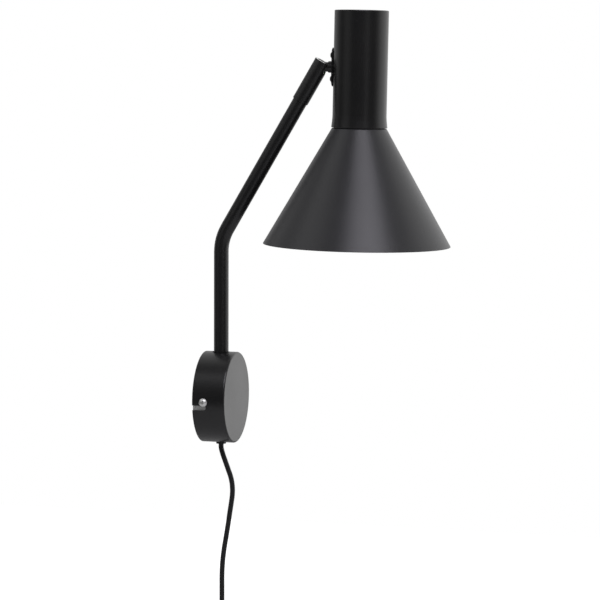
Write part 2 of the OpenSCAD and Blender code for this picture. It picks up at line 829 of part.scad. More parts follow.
module neck_nut() {
    color("#b9bcc0") at_head() translate([neck_nut_x, 0, 0]) rotate([0, 90, 0])
        hex_nut(neck_nut_flats, neck_thread_d, neck_nut_t);
}

module neck_lead() {
    color("#e4e2dc") at_head() translate([-2, 0, 0]) rotate([0, 90, 0]) cylinder(h = neck_end + 2, d = lead_d);
}

module plate_holes(x, length, centre_d, screw_d) {
    translate([x, 0, 0]) rotate([0, 90, 0]) {
        cylinder(h = length, d = centre_d);
        for (side = [-1, 1])
            translate([side * plate_screw_spacing / 2, 0, 0]) cylinder(h = length, d = screw_d);
    }
}

module mounting_plate() {
    color("#222224") at_head() difference() {
        union() {
            translate([plate_reach, -plate_w / 2, -plate_h / 2 + plate_w / 2])
                cube([plate_t, plate_w, plate_h - plate_w]);
            for (side = [-1, 1])
                translate([plate_reach, 0, side * (plate_h - plate_w) / 2]) rotate([0, 90, 0])
                    cylinder(h = plate_t, d = plate_w);
        }
        plate_holes(plate_reach - cut, plate_t + 2 * cut, neck_thread_d + 0.1, plate_screw_d);
    }
}

module plate_screws() {
    color("#2a2a2c") at_head() for (side = [-1, 1])
        translate([plate_reach, 0, side * plate_screw_spacing / 2]) rotate([0, -90, 0])
            pan_screw(plate_head_d, plate_head_h, plate_screw_d, leg_x + leg_t - plate_reach + 1);
}

module lamp_housing() {
    flare_h = 11;
    mouth = housing_r + housing_flare;
    color("#202022") difference() {
        on_head_axis() translate([0, 0, -housing_down]) {
            rotate_extrude($fn = 128) difference() {
                cup_section(housing_r, housing_up + housing_down, housing_wall, housing_edge_r);
                square([housing_r + cut, flare_h]);
            }
            rotate_extrude($fn = 128) polygon([
                [housing_in_r, flare_h + 1], [housing_r, flare_h + 1], [housing_r, flare_h],
                [housing_r + housing_flare * 0.25, 7], [housing_r + housing_flare * 0.7, 3], [mouth, 0.5],
                [mouth - 0.2, 0], [mouth - housing_wall, 0], [housing_in_r + housing_flare * 0.25, 7],
                [housing_in_r, flare_h]
            ]);
        }
        at_head() plate_holes(plate_reach, 6, neck_thread_d + 1, plate_screw_d);
    }
}

module holder_bracket() {
    leg_bottom = holder_shelf_z - 2;
    color("#9a9da1") at_head() difference() {
        union() {
            translate([leg_x, -leg_half_w, leg_bottom]) cube([leg_t, 2 * leg_half_w, 17 - leg_bottom]);
            translate([leg_x, -leg_half_w, leg_bottom]) cube([head_x - leg_x + 9, 2 * leg_half_w, 2]);
        }
        plate_holes(leg_x - cut, leg_t + 2 * cut, neck_thread_d + 0.1, plate_screw_d);
        translate([head_x, 0, leg_bottom - cut]) cylinder(h = 2 + 2 * cut, d = nipple_d);
    }
}

module holder_nipple() {
    color("#a8abaf") on_head_axis() translate([0, 0, holder_shelf_z - 12]) ring(nipple_d, 7, 17);
}

module holder_nut() {
    color("#b9bcc0") on_head_axis() translate([0, 0, holder_shelf_z]) hex_nut(14, nipple_d, 3);
}

module holder_cap() {
    top = holder_shelf_z - 2;
    color("#1a1a1c") on_head_axis() difference() {
        rotate_extrude() polygon([
            [nipple_d / 2, top], [9, top], [11, top - 3], [17, top - 8], [holder_r - 0.6, top - 13],
            [holder_r - 0.6, shade_top + holder_rise], [holder_r - 2.6, shade_top + holder_rise],
            [holder_r - 2.6, top - 14], [15.6, top - 10], [9, top - 5.5], [9, top - 10], [nipple_d / 2, top - 10]
        ]);
        for (a = [30:60:330])
            rotate([0, 0, a]) translate([holder_r - 1, 0, top - 18]) cylinder(h = 8, d = 2.5);
    }
}

module holder_body() {
    color("#1a1a1c") on_head_axis() difference() {
        union() {
            translate([0, 0, shade_top - holder_skirt]) cylinder(h = holder_skirt + holder_rise, r = holder_r);
            translate([0, 0, shade_top]) cylinder(h = 2.4, r = housing_in_r - 0.6);
            for (i = [0:3])
                translate([0, 0, shade_top - 15.5 + i * 2.6]) cylinder(h = 1.2, r = holder_r + 0.3);
        }
        translate([0, 0, shade_top - holder_skirt - cut])
            cylinder(h = holder_roof - shade_top + holder_skirt + cut, r = holder_bore_r);
        translate([0, 0, shade_top + 7]) for (side = [-1, 1])
            translate([side * 6, 0, 0]) cylinder(h = 6, d = 3);
        translate([0, 0, shade_top + 7]) cylinder(h = contact_roof - shade_top - 7, d = 12);
    }
}

module holder_shell() {
    color("#c9a54a") on_head_axis() translate([0, 0, shell_top - shell_h]) rotate_extrude() difference() {
        union() {
            translate([shell_r, 0]) square([shell_t, shell_h]);
            for (i = [0:4])
                translate([shell_r, 2.4 + i * bead_pitch]) circle(r = shell_bead_r);
        }
        square([shell_r - shell_bead_h, shell_h]);
    }
}

module holder_contact() {
    color("#c9a54a") on_head_axis() {
        translate([0, 0, bulb_top + 0.2]) cylinder(h = 1.2, d = 6);
        translate([-1.5, 0, bulb_top + 0.9]) cube([3, 5.8, 0.6]);
        translate([0, 0, bulb_top + 1]) cylinder(h = contact_roof - bulb_top - 1, d = 3);
    }
}

module shade_ring() {
    color("#1a1a1c") on_head_axis() translate([0, 0, shade_top - shade_wall - ring_h]) difference() {
        union() {
            cylinder(h = ring_h, r = ring_r);
            translate([0, 0, ring_h - 2]) cylinder(h = 2, r = ring_flange_r);
        }
        translate([0, 0, -cut]) cylinder(h = ring_h + 2 * cut, r = holder_r + 0.35);
        for (a = [0:15:345])
            rotate([0, 0, a]) translate([ring_r + 0.6, 0, -cut]) cylinder(h = ring_h - 3 + cut, d = 2, $fn = 16);
    }
}

module cone_shade() {
    top_r = shade_top_d / 2;
    rim_r = shade_d / 2;
    slope = atan((rim_r - top_r) / shade_h);
    side_t = shade_wall / cos(slope);
    color("#26262a") on_head_axis() rotate_extrude($fn = 180) {
        polygon([
            [top_r, shade_top - 0.4], [rim_r, shade_rim + 0.3], [rim_r - 0.2, shade_rim],
            [rim_r - side_t, shade_rim], [top_r - side_t, shade_top - shade_wall],
            [ring_seat_r, shade_top - shade_wall], [ring_seat_r, shade_top], [top_r - 0.4, shade_top]
        ]);
    }
}

module bulb_cap() {
    color("#c4c6c9") on_head_axis() {
        translate([0, 0, bulb_top - 3]) cylinder(h = 3, d1 = 16, d2 = 9);
        translate([0, 0, bulb_top - cap_h]) rotate_extrude() difference() {
            union() {
                square([cap_r, cap_h - 3]);
                for (i = [0:4])
                    translate([cap_r, 5 + i * bead_pitch]) circle(r = cap_bead_r);
            }
            translate([-cut, -cut]) square([cap_r - 1 + cut, cap_h - 4 + cut]);
        }
    }
}

module bulb_collar() {
    low = bulb_top - cap_h;
    color("#efeee9") on_head_axis() rotate_extrude() polygon([
        [0, low], [13.6, low], [14.2, low - 1.5], [15.6, low - 8], [19, low - 17],
        [bulb_d / 2 - 6, low - collar_h], [0, low - collar_h]
    ]);
}

module bulb_globe() {
    globe_r = bulb_d / 2;
    low = bulb_top - cap_h - collar_h;
    centre = bulb_end + globe_r;
    color("#f7f6f0") on_head_axis() difference() {
        union() {
            translate([0, 0, centre]) sphere(r = globe_r);
            rotate_extrude() polygon([[0, low], [globe_r - 6, low], [globe_r - 2.4, low - 8],
                                      [globe_r - 0.5, low - 16], [globe_r, centre], [0, centre]]);
        }
        translate([0, 0, low]) cylinder(h = globe_r, r = globe_r);
        translate([0, 0, centre]) sphere(r = globe_r - globe_wall);
        translate([0, 0, centre]) cylinder(h = low - centre + cut, r = globe_r - 8);
    }
}

module head_lead() {
    route = [
        [neck_end + 0.3, 0, 0], [neck_end + 4, 0, -0.2], [head_x - 4.5, 0, -2], [head_x - 1.2, 0, -5.5],
        [head_x, 0, -10], [head_x, 0, -20], [head_x, 0, holder_shelf_z - 16]
    ];
    color("#e4e2dc") at_head() swept_tube(route, lead_d, 12, [0, 1, 0]);
}

wall_bracket();
canopy_shell();
locking_screws();
cord_bush();
swivel_bracket();
swivel_bush();
thrust_washer();
terminal_block();
terminal_barrels();
terminal_screws();
block_screws();
inlet_lead();
link_lead();
power_cord();
switch_base();
switch_cover();
switch_screws();
switch_rocker();
coil_lead();
cord_coil();
coil_tie();
plug_lead();
plug_body();
plug_pins();
arm_tube();
arm_spigot();
stop_washer();
wave_washer();
swivel_nut();
arm_lead();
joint_barrel();
barrel_screw();
ball_seat();
ball_spring();
ball_neck();
neck_washer();
neck_nut();
neck_lead();
mounting_plate();
plate_screws();
lamp_housing();
holder_bracket();
holder_nipple();
holder_nut();
holder_cap();
holder_body();
holder_shell();
holder_contact();
shade_ring();
cone_shade();
bulb_cap();
bulb_collar();
bulb_globe();
head_lead();
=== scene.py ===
import json
import math

import bmesh
import bpy
from mathutils import Matrix, Quaternion, Vector

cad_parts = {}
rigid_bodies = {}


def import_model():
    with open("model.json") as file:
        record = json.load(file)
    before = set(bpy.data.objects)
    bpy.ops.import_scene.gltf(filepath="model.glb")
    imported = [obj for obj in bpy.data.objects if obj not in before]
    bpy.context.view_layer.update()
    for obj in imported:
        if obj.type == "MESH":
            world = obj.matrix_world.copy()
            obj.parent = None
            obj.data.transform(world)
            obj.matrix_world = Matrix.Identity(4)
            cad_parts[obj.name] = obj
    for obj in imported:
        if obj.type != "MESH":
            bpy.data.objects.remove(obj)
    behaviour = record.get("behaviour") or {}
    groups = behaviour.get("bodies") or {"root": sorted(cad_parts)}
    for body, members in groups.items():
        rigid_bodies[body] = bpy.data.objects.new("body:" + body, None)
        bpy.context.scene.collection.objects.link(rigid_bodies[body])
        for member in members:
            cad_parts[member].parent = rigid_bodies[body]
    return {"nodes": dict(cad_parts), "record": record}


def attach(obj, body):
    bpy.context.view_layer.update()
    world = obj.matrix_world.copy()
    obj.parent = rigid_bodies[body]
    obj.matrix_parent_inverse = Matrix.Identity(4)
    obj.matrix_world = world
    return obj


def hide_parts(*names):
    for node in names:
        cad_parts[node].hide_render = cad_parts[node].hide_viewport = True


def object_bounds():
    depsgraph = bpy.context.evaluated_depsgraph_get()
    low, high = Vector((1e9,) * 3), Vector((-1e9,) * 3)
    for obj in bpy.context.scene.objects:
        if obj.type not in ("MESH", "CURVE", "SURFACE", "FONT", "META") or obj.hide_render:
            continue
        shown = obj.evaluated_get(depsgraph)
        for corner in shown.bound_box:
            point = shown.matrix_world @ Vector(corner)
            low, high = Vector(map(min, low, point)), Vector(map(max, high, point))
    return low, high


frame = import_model()
cadBox = [list(corner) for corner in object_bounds()]
cadNodes = frame["nodes"]
print("frame loaded,", len(cadNodes), "nodes")

# The places that the made pieces share with the frame, in metres
lamp = {
    "knuckle": (0.114171, 0.0, 0.322328),  # centre of the ball
    "slantDeg": 30.4,  # the upper arm, from upright
    "leanDeg": 0.9,  # the head's axis, from upright
    "headReach": 0.03995,  # from the ball to the head's axis
    "barrelRadius": 0.008,
    "barrelLip": 0.006,  # from the ball's centre to the barrel's end
}
headPlace = (
    Matrix.Translation(lamp["knuckle"])
    @ Matrix.Rotation(math.radians(lamp["leanDeg"]), 4, "Y")
    @ Matrix.Translation((lamp["headReach"], 0, 0))
)


# camera
cameraSetup = {
    "place": (0.65887, -2.14023, 0.31868),
    "target": (0.0955, 0.0, 0.0976),
    "rollDeg": 0.257,
    "lens": 137.86,
    "sensor": 36,
    "near": 0.05, "far": 60,
}


def makeCamera(setup):
    data = bpy.data.cameras.new("lampCamera")
    data.lens = setup["lens"]
    data.sensor_width = setup["sensor"]
    data.clip_start, data.clip_end = setup["near"], setup["far"]
    camera = bpy.data.objects.new("lampCamera", data)
    bpy.context.scene.collection.objects.link(camera)
    camera.location = setup["place"]
    aim = Vector(setup["target"]) - Vector(setup["place"])
    camera.rotation_mode = "QUATERNION"
    roll = Quaternion((0, 0, 1), math.radians(setup["rollDeg"]))
    camera.rotation_quaternion = aim.to_track_quat("-Z", "Y") @ roll
    bpy.context.scene.camera = camera


makeCamera(cameraSetup)
print("camera placed")


# power cord, one length from the canopy through the switch and the coil to the plug
cordSetup = {
    "diameter": 0.005,
    "length": 2.08,
    "stepsRound": 5, "stepsAlong": 5,
    "exit": (0.016, 0.0, -0.0462),
    "drop": [
        (0.016, 0, -0.0462), (0.016, 0, -0.05), (0.0175, 0, -0.056), (0.02, 0, -0.063), (0.0233, 0, -0.072),
        (0.0261, 0, -0.08), (0.0275, 0, -0.088), (0.0276, 0, -0.096), (0.0265, 0, -0.105), (0.0251, 0, -0.114),
        (0.0238, 0, -0.123), (0.0224, 0, -0.132), (0.0209, 0, -0.141), (0.0194, 0, -0.15), (0.0181, 0, -0.16),
        (0.0173, 0, -0.17), (0.017, 0, -0.18), (0.017, 0, -0.19), (0.017, 0, -0.202), (0.017, 0, -0.215),
    ],
    "throughSwitch": [(0.017, 0, -0.235), (0.017, 0, -0.255)],
    "intoCoil": [
        (0.017, 0, -0.275), (0.017, 0, -0.28), (0.0165, -0.0003, -0.2855), (0.015, -0.0015, -0.2915),
        (0.0128, -0.0042, -0.297), (0.0106, -0.0082, -0.301),
    ],
    "outOfCoil": [
        (0.0262, -0.019, -0.322), (0.028, -0.0201, -0.328), (0.0294, -0.0202, -0.335),
        (0.0298, -0.0202, -0.343), (0.0298, -0.0202, -0.352), (0.0298, -0.0202, -0.361),
    ],
}
coilSetup = {
    "centre": (0.017, 0.0, -0.331),
    "layers": (0.0301, 0.025, 0.0199),
    "pitch": 0.0051,
    "across": 4,
    "startDeg": -25.6,
    "windDeg": 3960 + 24,  # eleven turns and a little more
    "stepDeg": 22.5,
    "crossShare": 0.17,  # the part of each turn in which it steps over to the next place
}


# Where a turn lies: its place across the coil and its radius, every other layer wound back
def coilSpot(setup, turn):
    layer = min(turn // setup["across"], len(setup["layers"]) - 1)
    column = turn % setup["across"]
    if layer % 2:
        column = setup["across"] - 1 - column
    return (column - (setup["across"] - 1) / 2) * setup["pitch"], setup["layers"][layer]


def coilPoints(setup):
    centre, points = Vector(setup["centre"]), []
    for step in range(int(setup["windDeg"] / setup["stepDeg"]) + 1):
        wound = step * setup["stepDeg"]
        turn, share = int(wound // 360), (wound % 360) / 360
        side, radius = coilSpot(setup, turn)
        nextSide, nextRadius = coilSpot(setup, turn + 1)
        t = max(0.0, (share - 1 + setup["crossShare"]) / setup["crossShare"])
        t = t * t * (3 - 2 * t)
        angle = math.radians(setup["startDeg"] - wound)
        r = radius + (nextRadius - radius) * t
        across = side + (nextSide - side) * t
        points.append(centre + Vector((across, r * math.sin(angle), r * math.cos(angle))))
    return points


def makeCord(setup, coil):
    points = [*setup["drop"], *setup["throughSwitch"], *setup["intoCoil"], *coilPoints(coil), *setup["outOfCoil"]]
    data = bpy.data.curves.new("powerCord", "CURVE")
    data.dimensions = "3D"
    data.bevel_depth = 1.0  # times each point's own radius
    data.bevel_resolution = setup["stepsRound"]
    data.resolution_u = setup["stepsAlong"]
    data.use_fill_caps = True
    spline = data.splines.new("BEZIER")
    spline.bezier_points.add(len(points) - 1)
    for knot, place in zip(spline.bezier_points, points):
        knot.co = place
        knot.radius = setup["diameter"] / 2
        knot.handle_left_type = knot.handle_right_type = "AUTO"
    cord = bpy.data.objects.new("powerCord", data)
    bpy.context.scene.collection.objects.link(cord)
    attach(cord, "base")
    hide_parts("power_cord", "coil_lead", "cord_coil", "plug_lead")
    return cord


powerCord = makeCord(cordSetup, coilSetup)
print("cord laid")


# node groups
def addNode(tree, kind, **settings):
    node = tree.nodes.new(kind)
    for key, value in settings.items():
        setattr(node, key, value)
    return node


def newGroup(name, inputs, outputs):
    tree = bpy.data.node_groups.new(name, "ShaderNodeTree")
    for label, kind, value in inputs:
        tree.interface.new_socket(name=label, in_out="INPUT", socket_type=kind).default_value = value
    for label, kind in outputs:
        tree.interface.new_socket(name=label, in_out="OUTPUT", socket_type=kind)
    return tree, addNode(tree, "NodeGroupInput"), addNode(tree, "NodeGroupOutput")


def addMath(tree, operation, first, second=None, clamp=False):
    node = addNode(tree, "ShaderNodeMath", operation=operation, use_clamp=clamp)
    for socket, value in zip(node.inputs, (first, second)):
        if value is None:
            continue
        if isinstance(value, (int, float)):
            socket.default_value = value
        else:
            tree.links.new(value, socket)
    return node.outputs[0]


def addMix(tree, factor, first, second):
    node = addNode(tree, "ShaderNodeMix", data_type="RGBA")
    for socket, value in ((node.inputs[0], factor), (node.inputs[6], first), (node.inputs[7], second)):
        if isinstance(value, (int, float)):
            socket.default_value = value
        elif isinstance(value, (tuple, list)):
            socket.default_value = (*value, 1)
        else:
            tree.links.new(value, socket)
    return node.outputs[2]


def addNoise(tree, vector, scale, detail, roughness=0.5):
    node = addNode(tree, "ShaderNodeTexNoise")
    tree.links.new(vector, node.inputs["Vector"])
    if isinstance(scale, (int, float)):
        node.inputs["Scale"].default_value = scale
    else:
        tree.links.new(scale, node.inputs["Scale"])
    node.inputs["Detail"].default_value = detail
    node.inputs["Roughness"].default_value = roughness
    return node.outputs["Fac"]


grainSetup = {
    "fleckScale": 38.0,  # times the drift's own scale
    "fleckFloor": 0.72, "fleckGain": 9.0, "fleckTone": (0.42, 0.41, 0.39), "fleckRough": 0.3,
    "driftFloor": 0.32, "driftGain": 2.6, "driftRough": 0.6,
    "speckFloor": 0.42, "speckGain": 1.2,
}


# Fine grain over a slow drift of tone, for coats and mouldings
def makeGrainGroup(setup):
    tree, given, result = newGroup(
        "coatGrain",
        [("Base", "NodeSocketColor", (0.5, 0.5, 0.5, 1)), ("Drifted", "NodeSocketColor", (0.5, 0.5, 0.5, 1)),
         ("Roughness", "NodeSocketFloat", 0.5), ("Spread", "NodeSocketFloat", 0.1),
         ("Grain Scale", "NodeSocketFloat", 2500.0), ("Drift Scale", "NodeSocketFloat", 22.0),
         ("Dust", "NodeSocketFloat", 0.1)],
        [("Color", "NodeSocketColor"), ("Roughness", "NodeSocketFloat"), ("Height", "NodeSocketFloat")])
    place = addNode(tree, "ShaderNodeTexCoord").outputs["Object"]
    fine = addNoise(tree, place, given.outputs["Grain Scale"], 3)
    drift = addNoise(tree, place, given.outputs["Drift Scale"], 4, setup["driftRough"])
    fleck = addNoise(tree, place, addMath(tree, "MULTIPLY", given.outputs["Drift Scale"], setup["fleckScale"]), 1)
    fleck = addMath(tree, "SUBTRACT", fleck, setup["fleckFloor"], True)
    fleck = addMath(tree, "MULTIPLY", fleck, setup["fleckGain"], True)
    fleck = addMath(tree, "MULTIPLY", fleck, given.outputs["Dust"])
    driftMask = addMath(tree, "SUBTRACT", drift, setup["driftFloor"])
    driftMask = addMath(tree, "MULTIPLY", driftMask, setup["driftGain"], True)
    tone = addMix(tree, driftMask, given.outputs["Base"], given.outputs["Drifted"])
    speck = addMath(tree, "SUBTRACT", fine, setup["speckFloor"], True)
    speck = addMath(tree, "MULTIPLY", speck, setup["speckGain"], True)
    tone = addMix(tree, speck, tone, given.outputs["Drifted"])
    tree.links.new(addMix(tree, fleck, tone, setup["fleckTone"]), result.inputs["Color"])
    wander = addMath(tree, "ADD", addMath(tree, "SUBTRACT", drift, 0.5), addMath(tree, "SUBTRACT", fine, 0.5))
    wander = addMath(tree, "MULTIPLY", wander, given.outputs["Spread"])
    rough = addMath(tree, "ADD", given.outputs["Roughness"], wander)
    rough = addMath(tree, "ADD", rough, addMath(tree, "MULTIPLY", fleck, setup["fleckRough"]), True)
    tree.links.new(rough, result.inputs["Roughness"])
    tree.links.new(fine, result.inputs["Height"])
    return tree


drawnSetup = {
    "lineShare": 0.45, "stainShare": 0.6, "stainFloor": 0.38, "stainGain": 2.2, "middle": 0.4,
    "lineRough": 0.65, "stainRough": 0.7,
}


# Fine lines drawn along one axis with a little tarnish, for bare and plated metal
def makeDrawnGroup(setup):
    tree, given, result = newGroup(
        "drawnMetal",
        [("Bright", "NodeSocketColor", (0.6, 0.6, 0.6, 1)), ("Dull", "NodeSocketColor", (0.4, 0.4, 0.4, 1)),
         ("Roughness", "NodeSocketFloat", 0.3), ("Spread", "NodeSocketFloat", 0.15),
         ("Stretch", "NodeSocketVector", (1.0, 1.0, 12.0)), ("Line Scale", "NodeSocketFloat", 900.0),
         ("Stain Scale", "NodeSocketFloat", 90.0)],
        [("Color", "NodeSocketColor"), ("Roughness", "NodeSocketFloat"), ("Height", "NodeSocketFloat")])
    place = addNode(tree, "ShaderNodeTexCoord").outputs["Object"]
    stretched = addNode(tree, "ShaderNodeVectorMath", operation="MULTIPLY")
    tree.links.new(place, stretched.inputs[0])
    tree.links.new(given.outputs["Stretch"], stretched.inputs[1])
    lines = addNoise(tree, stretched.outputs[0], given.outputs["Line Scale"], 4, setup["lineRough"])
    stain = addNoise(tree, place, given.outputs["Stain Scale"], 5, setup["stainRough"])
    mask = addMath(tree, "SUBTRACT", stain, setup["stainFloor"])
    mask = addMath(tree, "MULTIPLY", mask, setup["stainGain"], True)
    both = addMath(tree, "ADD", addMath(tree, "MULTIPLY", lines, setup["lineShare"]),
                   addMath(tree, "MULTIPLY", mask, setup["stainShare"]), True)
    tree.links.new(addMix(tree, both, given.outputs["Bright"], given.outputs["Dull"]), result.inputs["Color"])
    wander = addMath(tree, "MULTIPLY", addMath(tree, "SUBTRACT", both, setup["middle"]), given.outputs["Spread"])
    tree.links.new(addMath(tree, "ADD", given.outputs["Roughness"], wander, True), result.inputs["Roughness"])
    tree.links.new(lines, result.inputs["Height"])
    return tree


edgeSetup = {"samples": 4, "patchScale": 420.0}


# A rounded normal and a mask where two faces meet
def makeEdgeGroup(setup):
    tree, given, result = newGroup(
        "softEdge",
        [("Radius", "NodeSocketFloat", 0.0003), ("Gain", "NodeSocketFloat", 3.0)],
        [("Normal", "NodeSocketVector"), ("Edge", "NodeSocketFloat")])
    rounded = addNode(tree, "ShaderNodeBevel", samples=setup["samples"])
    tree.links.new(given.outputs["Radius"], rounded.inputs["Radius"])
    plain = addNode(tree, "ShaderNodeNewGeometry")
    same = addNode(tree, "ShaderNodeVectorMath", operation="DOT_PRODUCT")
    tree.links.new(rounded.outputs[0], same.inputs[0])
    tree.links.new(plain.outputs["Normal"], same.inputs[1])
    away = addMath(tree, "SUBTRACT", 1.0, same.outputs["Value"], True)
    place = addNode(tree, "ShaderNodeTexCoord").outputs["Object"]
    patchy = addNoise(tree, place, setup["patchScale"], 3)
    away = addMath(tree, "MULTIPLY", addMath(tree, "MULTIPLY", away, given.outputs["Gain"]), patchy, True)
    tree.links.new(rounded.outputs[0], result.inputs["Normal"])
    tree.links.new(away, result.inputs["Edge"])
    return tree


weaveSetup = {"fuzzScale": 2600.0, "fuzzShare": 0.35}


# Over-and-under threads from the strap's own UV map
def makeWeaveGroup(setup):
    tree, given, result = newGroup(
        "strapWeave",
        [("Thread", "NodeSocketColor", (0.02, 0.02, 0.02, 1)),
         ("Gap", "NodeSocketColor", (0.005, 0.005, 0.005, 1)), ("Threads", "NodeSocketFloat", 900.0)],
        [("Color", "NodeSocketColor"), ("Height", "NodeSocketFloat")])
    place = addNode(tree, "ShaderNodeTexCoord").outputs["UV"]
    parts = addNode(tree, "ShaderNodeSeparateXYZ")
    tree.links.new(place, parts.inputs[0])
    waves = []
    for axis in range(2):
        run = addMath(tree, "MULTIPLY", parts.outputs[axis], given.outputs["Threads"])
        waves.append(addMath(tree, "SINE", addMath(tree, "MULTIPLY", run, math.tau)))
    crossed = addMath(tree, "MULTIPLY", waves[0], waves[1])
    height = addMath(tree, "MULTIPLY", addMath(tree, "ADD", crossed, 1.0), 0.5, True)
    fuzz = addNoise(tree, place, setup["fuzzScale"], 2)
    height = addMath(tree, "ADD", height, addMath(tree, "MULTIPLY", fuzz, setup["fuzzShare"]))
    tree.links.new(addMix(tree, height, given.outputs["Gap"], given.outputs["Thread"]), result.inputs["Color"])
    tree.links.new(height, result.inputs["Height"])
    return tree


grainGroup = makeGrainGroup(grainSetup)
drawnGroup = makeDrawnGroup(drawnSetup)
edgeGroup = makeEdgeGroup(edgeSetup)
weaveGroup = makeWeaveGroup(weaveSetup)
print("node groups made")


# materials
def startMaterial(name):
    material = bpy.data.materials.new(name)
    material.use_nodes = True
    tree = material.node_tree
    return material, tree, tree.nodes["Principled BSDF"]


def placeGroup(tree, group, values):
    node = addNode(tree, "ShaderNodeGroup", node_tree=group)
    for key, value in values.items():
        isColour = group.interface.items_tree[key].socket_type == "NodeSocketColor"
        node.inputs[key].default_value = (*value, 1) if isColour else value
    return node


def finishBump(tree, shader, height, normal, strength, distance):
    bump = addNode(tree, "ShaderNodeBump")
    bump.inputs["Strength"].default_value = strength
    bump.inputs["Distance"].default_value = distance
    tree.links.new(height, bump.inputs["Height"])
    if normal is not None:
        tree.links.new(normal, bump.inputs["Normal"])
    tree.links.new(bump.outputs[0], shader.inputs["Normal"])


def setShader(shader, values):
    for key, value in values.items():
        shader.inputs[key].default_value = value


def makeCoat(name, look):
    material, tree, shader = startMaterial(name)
    grain = placeGroup(tree, grainGroup, look["grain"])
    edge = placeGroup(tree, edgeGroup, {"Radius": look["edgeRadius"], "Gain": look["edgeGain"]})
    tone = addMix(tree, edge.outputs["Edge"], grain.outputs["Color"], look["edgeTone"])
    tree.links.new(tone, shader.inputs["Base Color"])
    tree.links.new(grain.outputs["Roughness"], shader.inputs["Roughness"])
    finishBump(tree, shader, grain.outputs["Height"], edge.outputs["Normal"], look["bump"], look["bumpDepth"])
    setShader(shader, look["shader"])
    return material


def makeMetal(name, look):
    material, tree, shader = startMaterial(name)
    drawn = placeGroup(tree, drawnGroup, look["drawn"])
    edge = placeGroup(tree, edgeGroup, {"Radius": look["edgeRadius"], "Gain": look["edgeGain"]})
    tone = addMix(tree, edge.outputs["Edge"], drawn.outputs["Color"], look["edgeTone"])
    tree.links.new(tone, shader.inputs["Base Color"])
    tree.links.new(drawn.outputs["Roughness"], shader.inputs["Roughness"])
    finishBump(tree, shader, drawn.outputs["Height"], edge.outputs["Normal"], look["bump"], look["bumpDepth"])
    setShader(shader, {"Metallic": look["metallic"]})
    return material


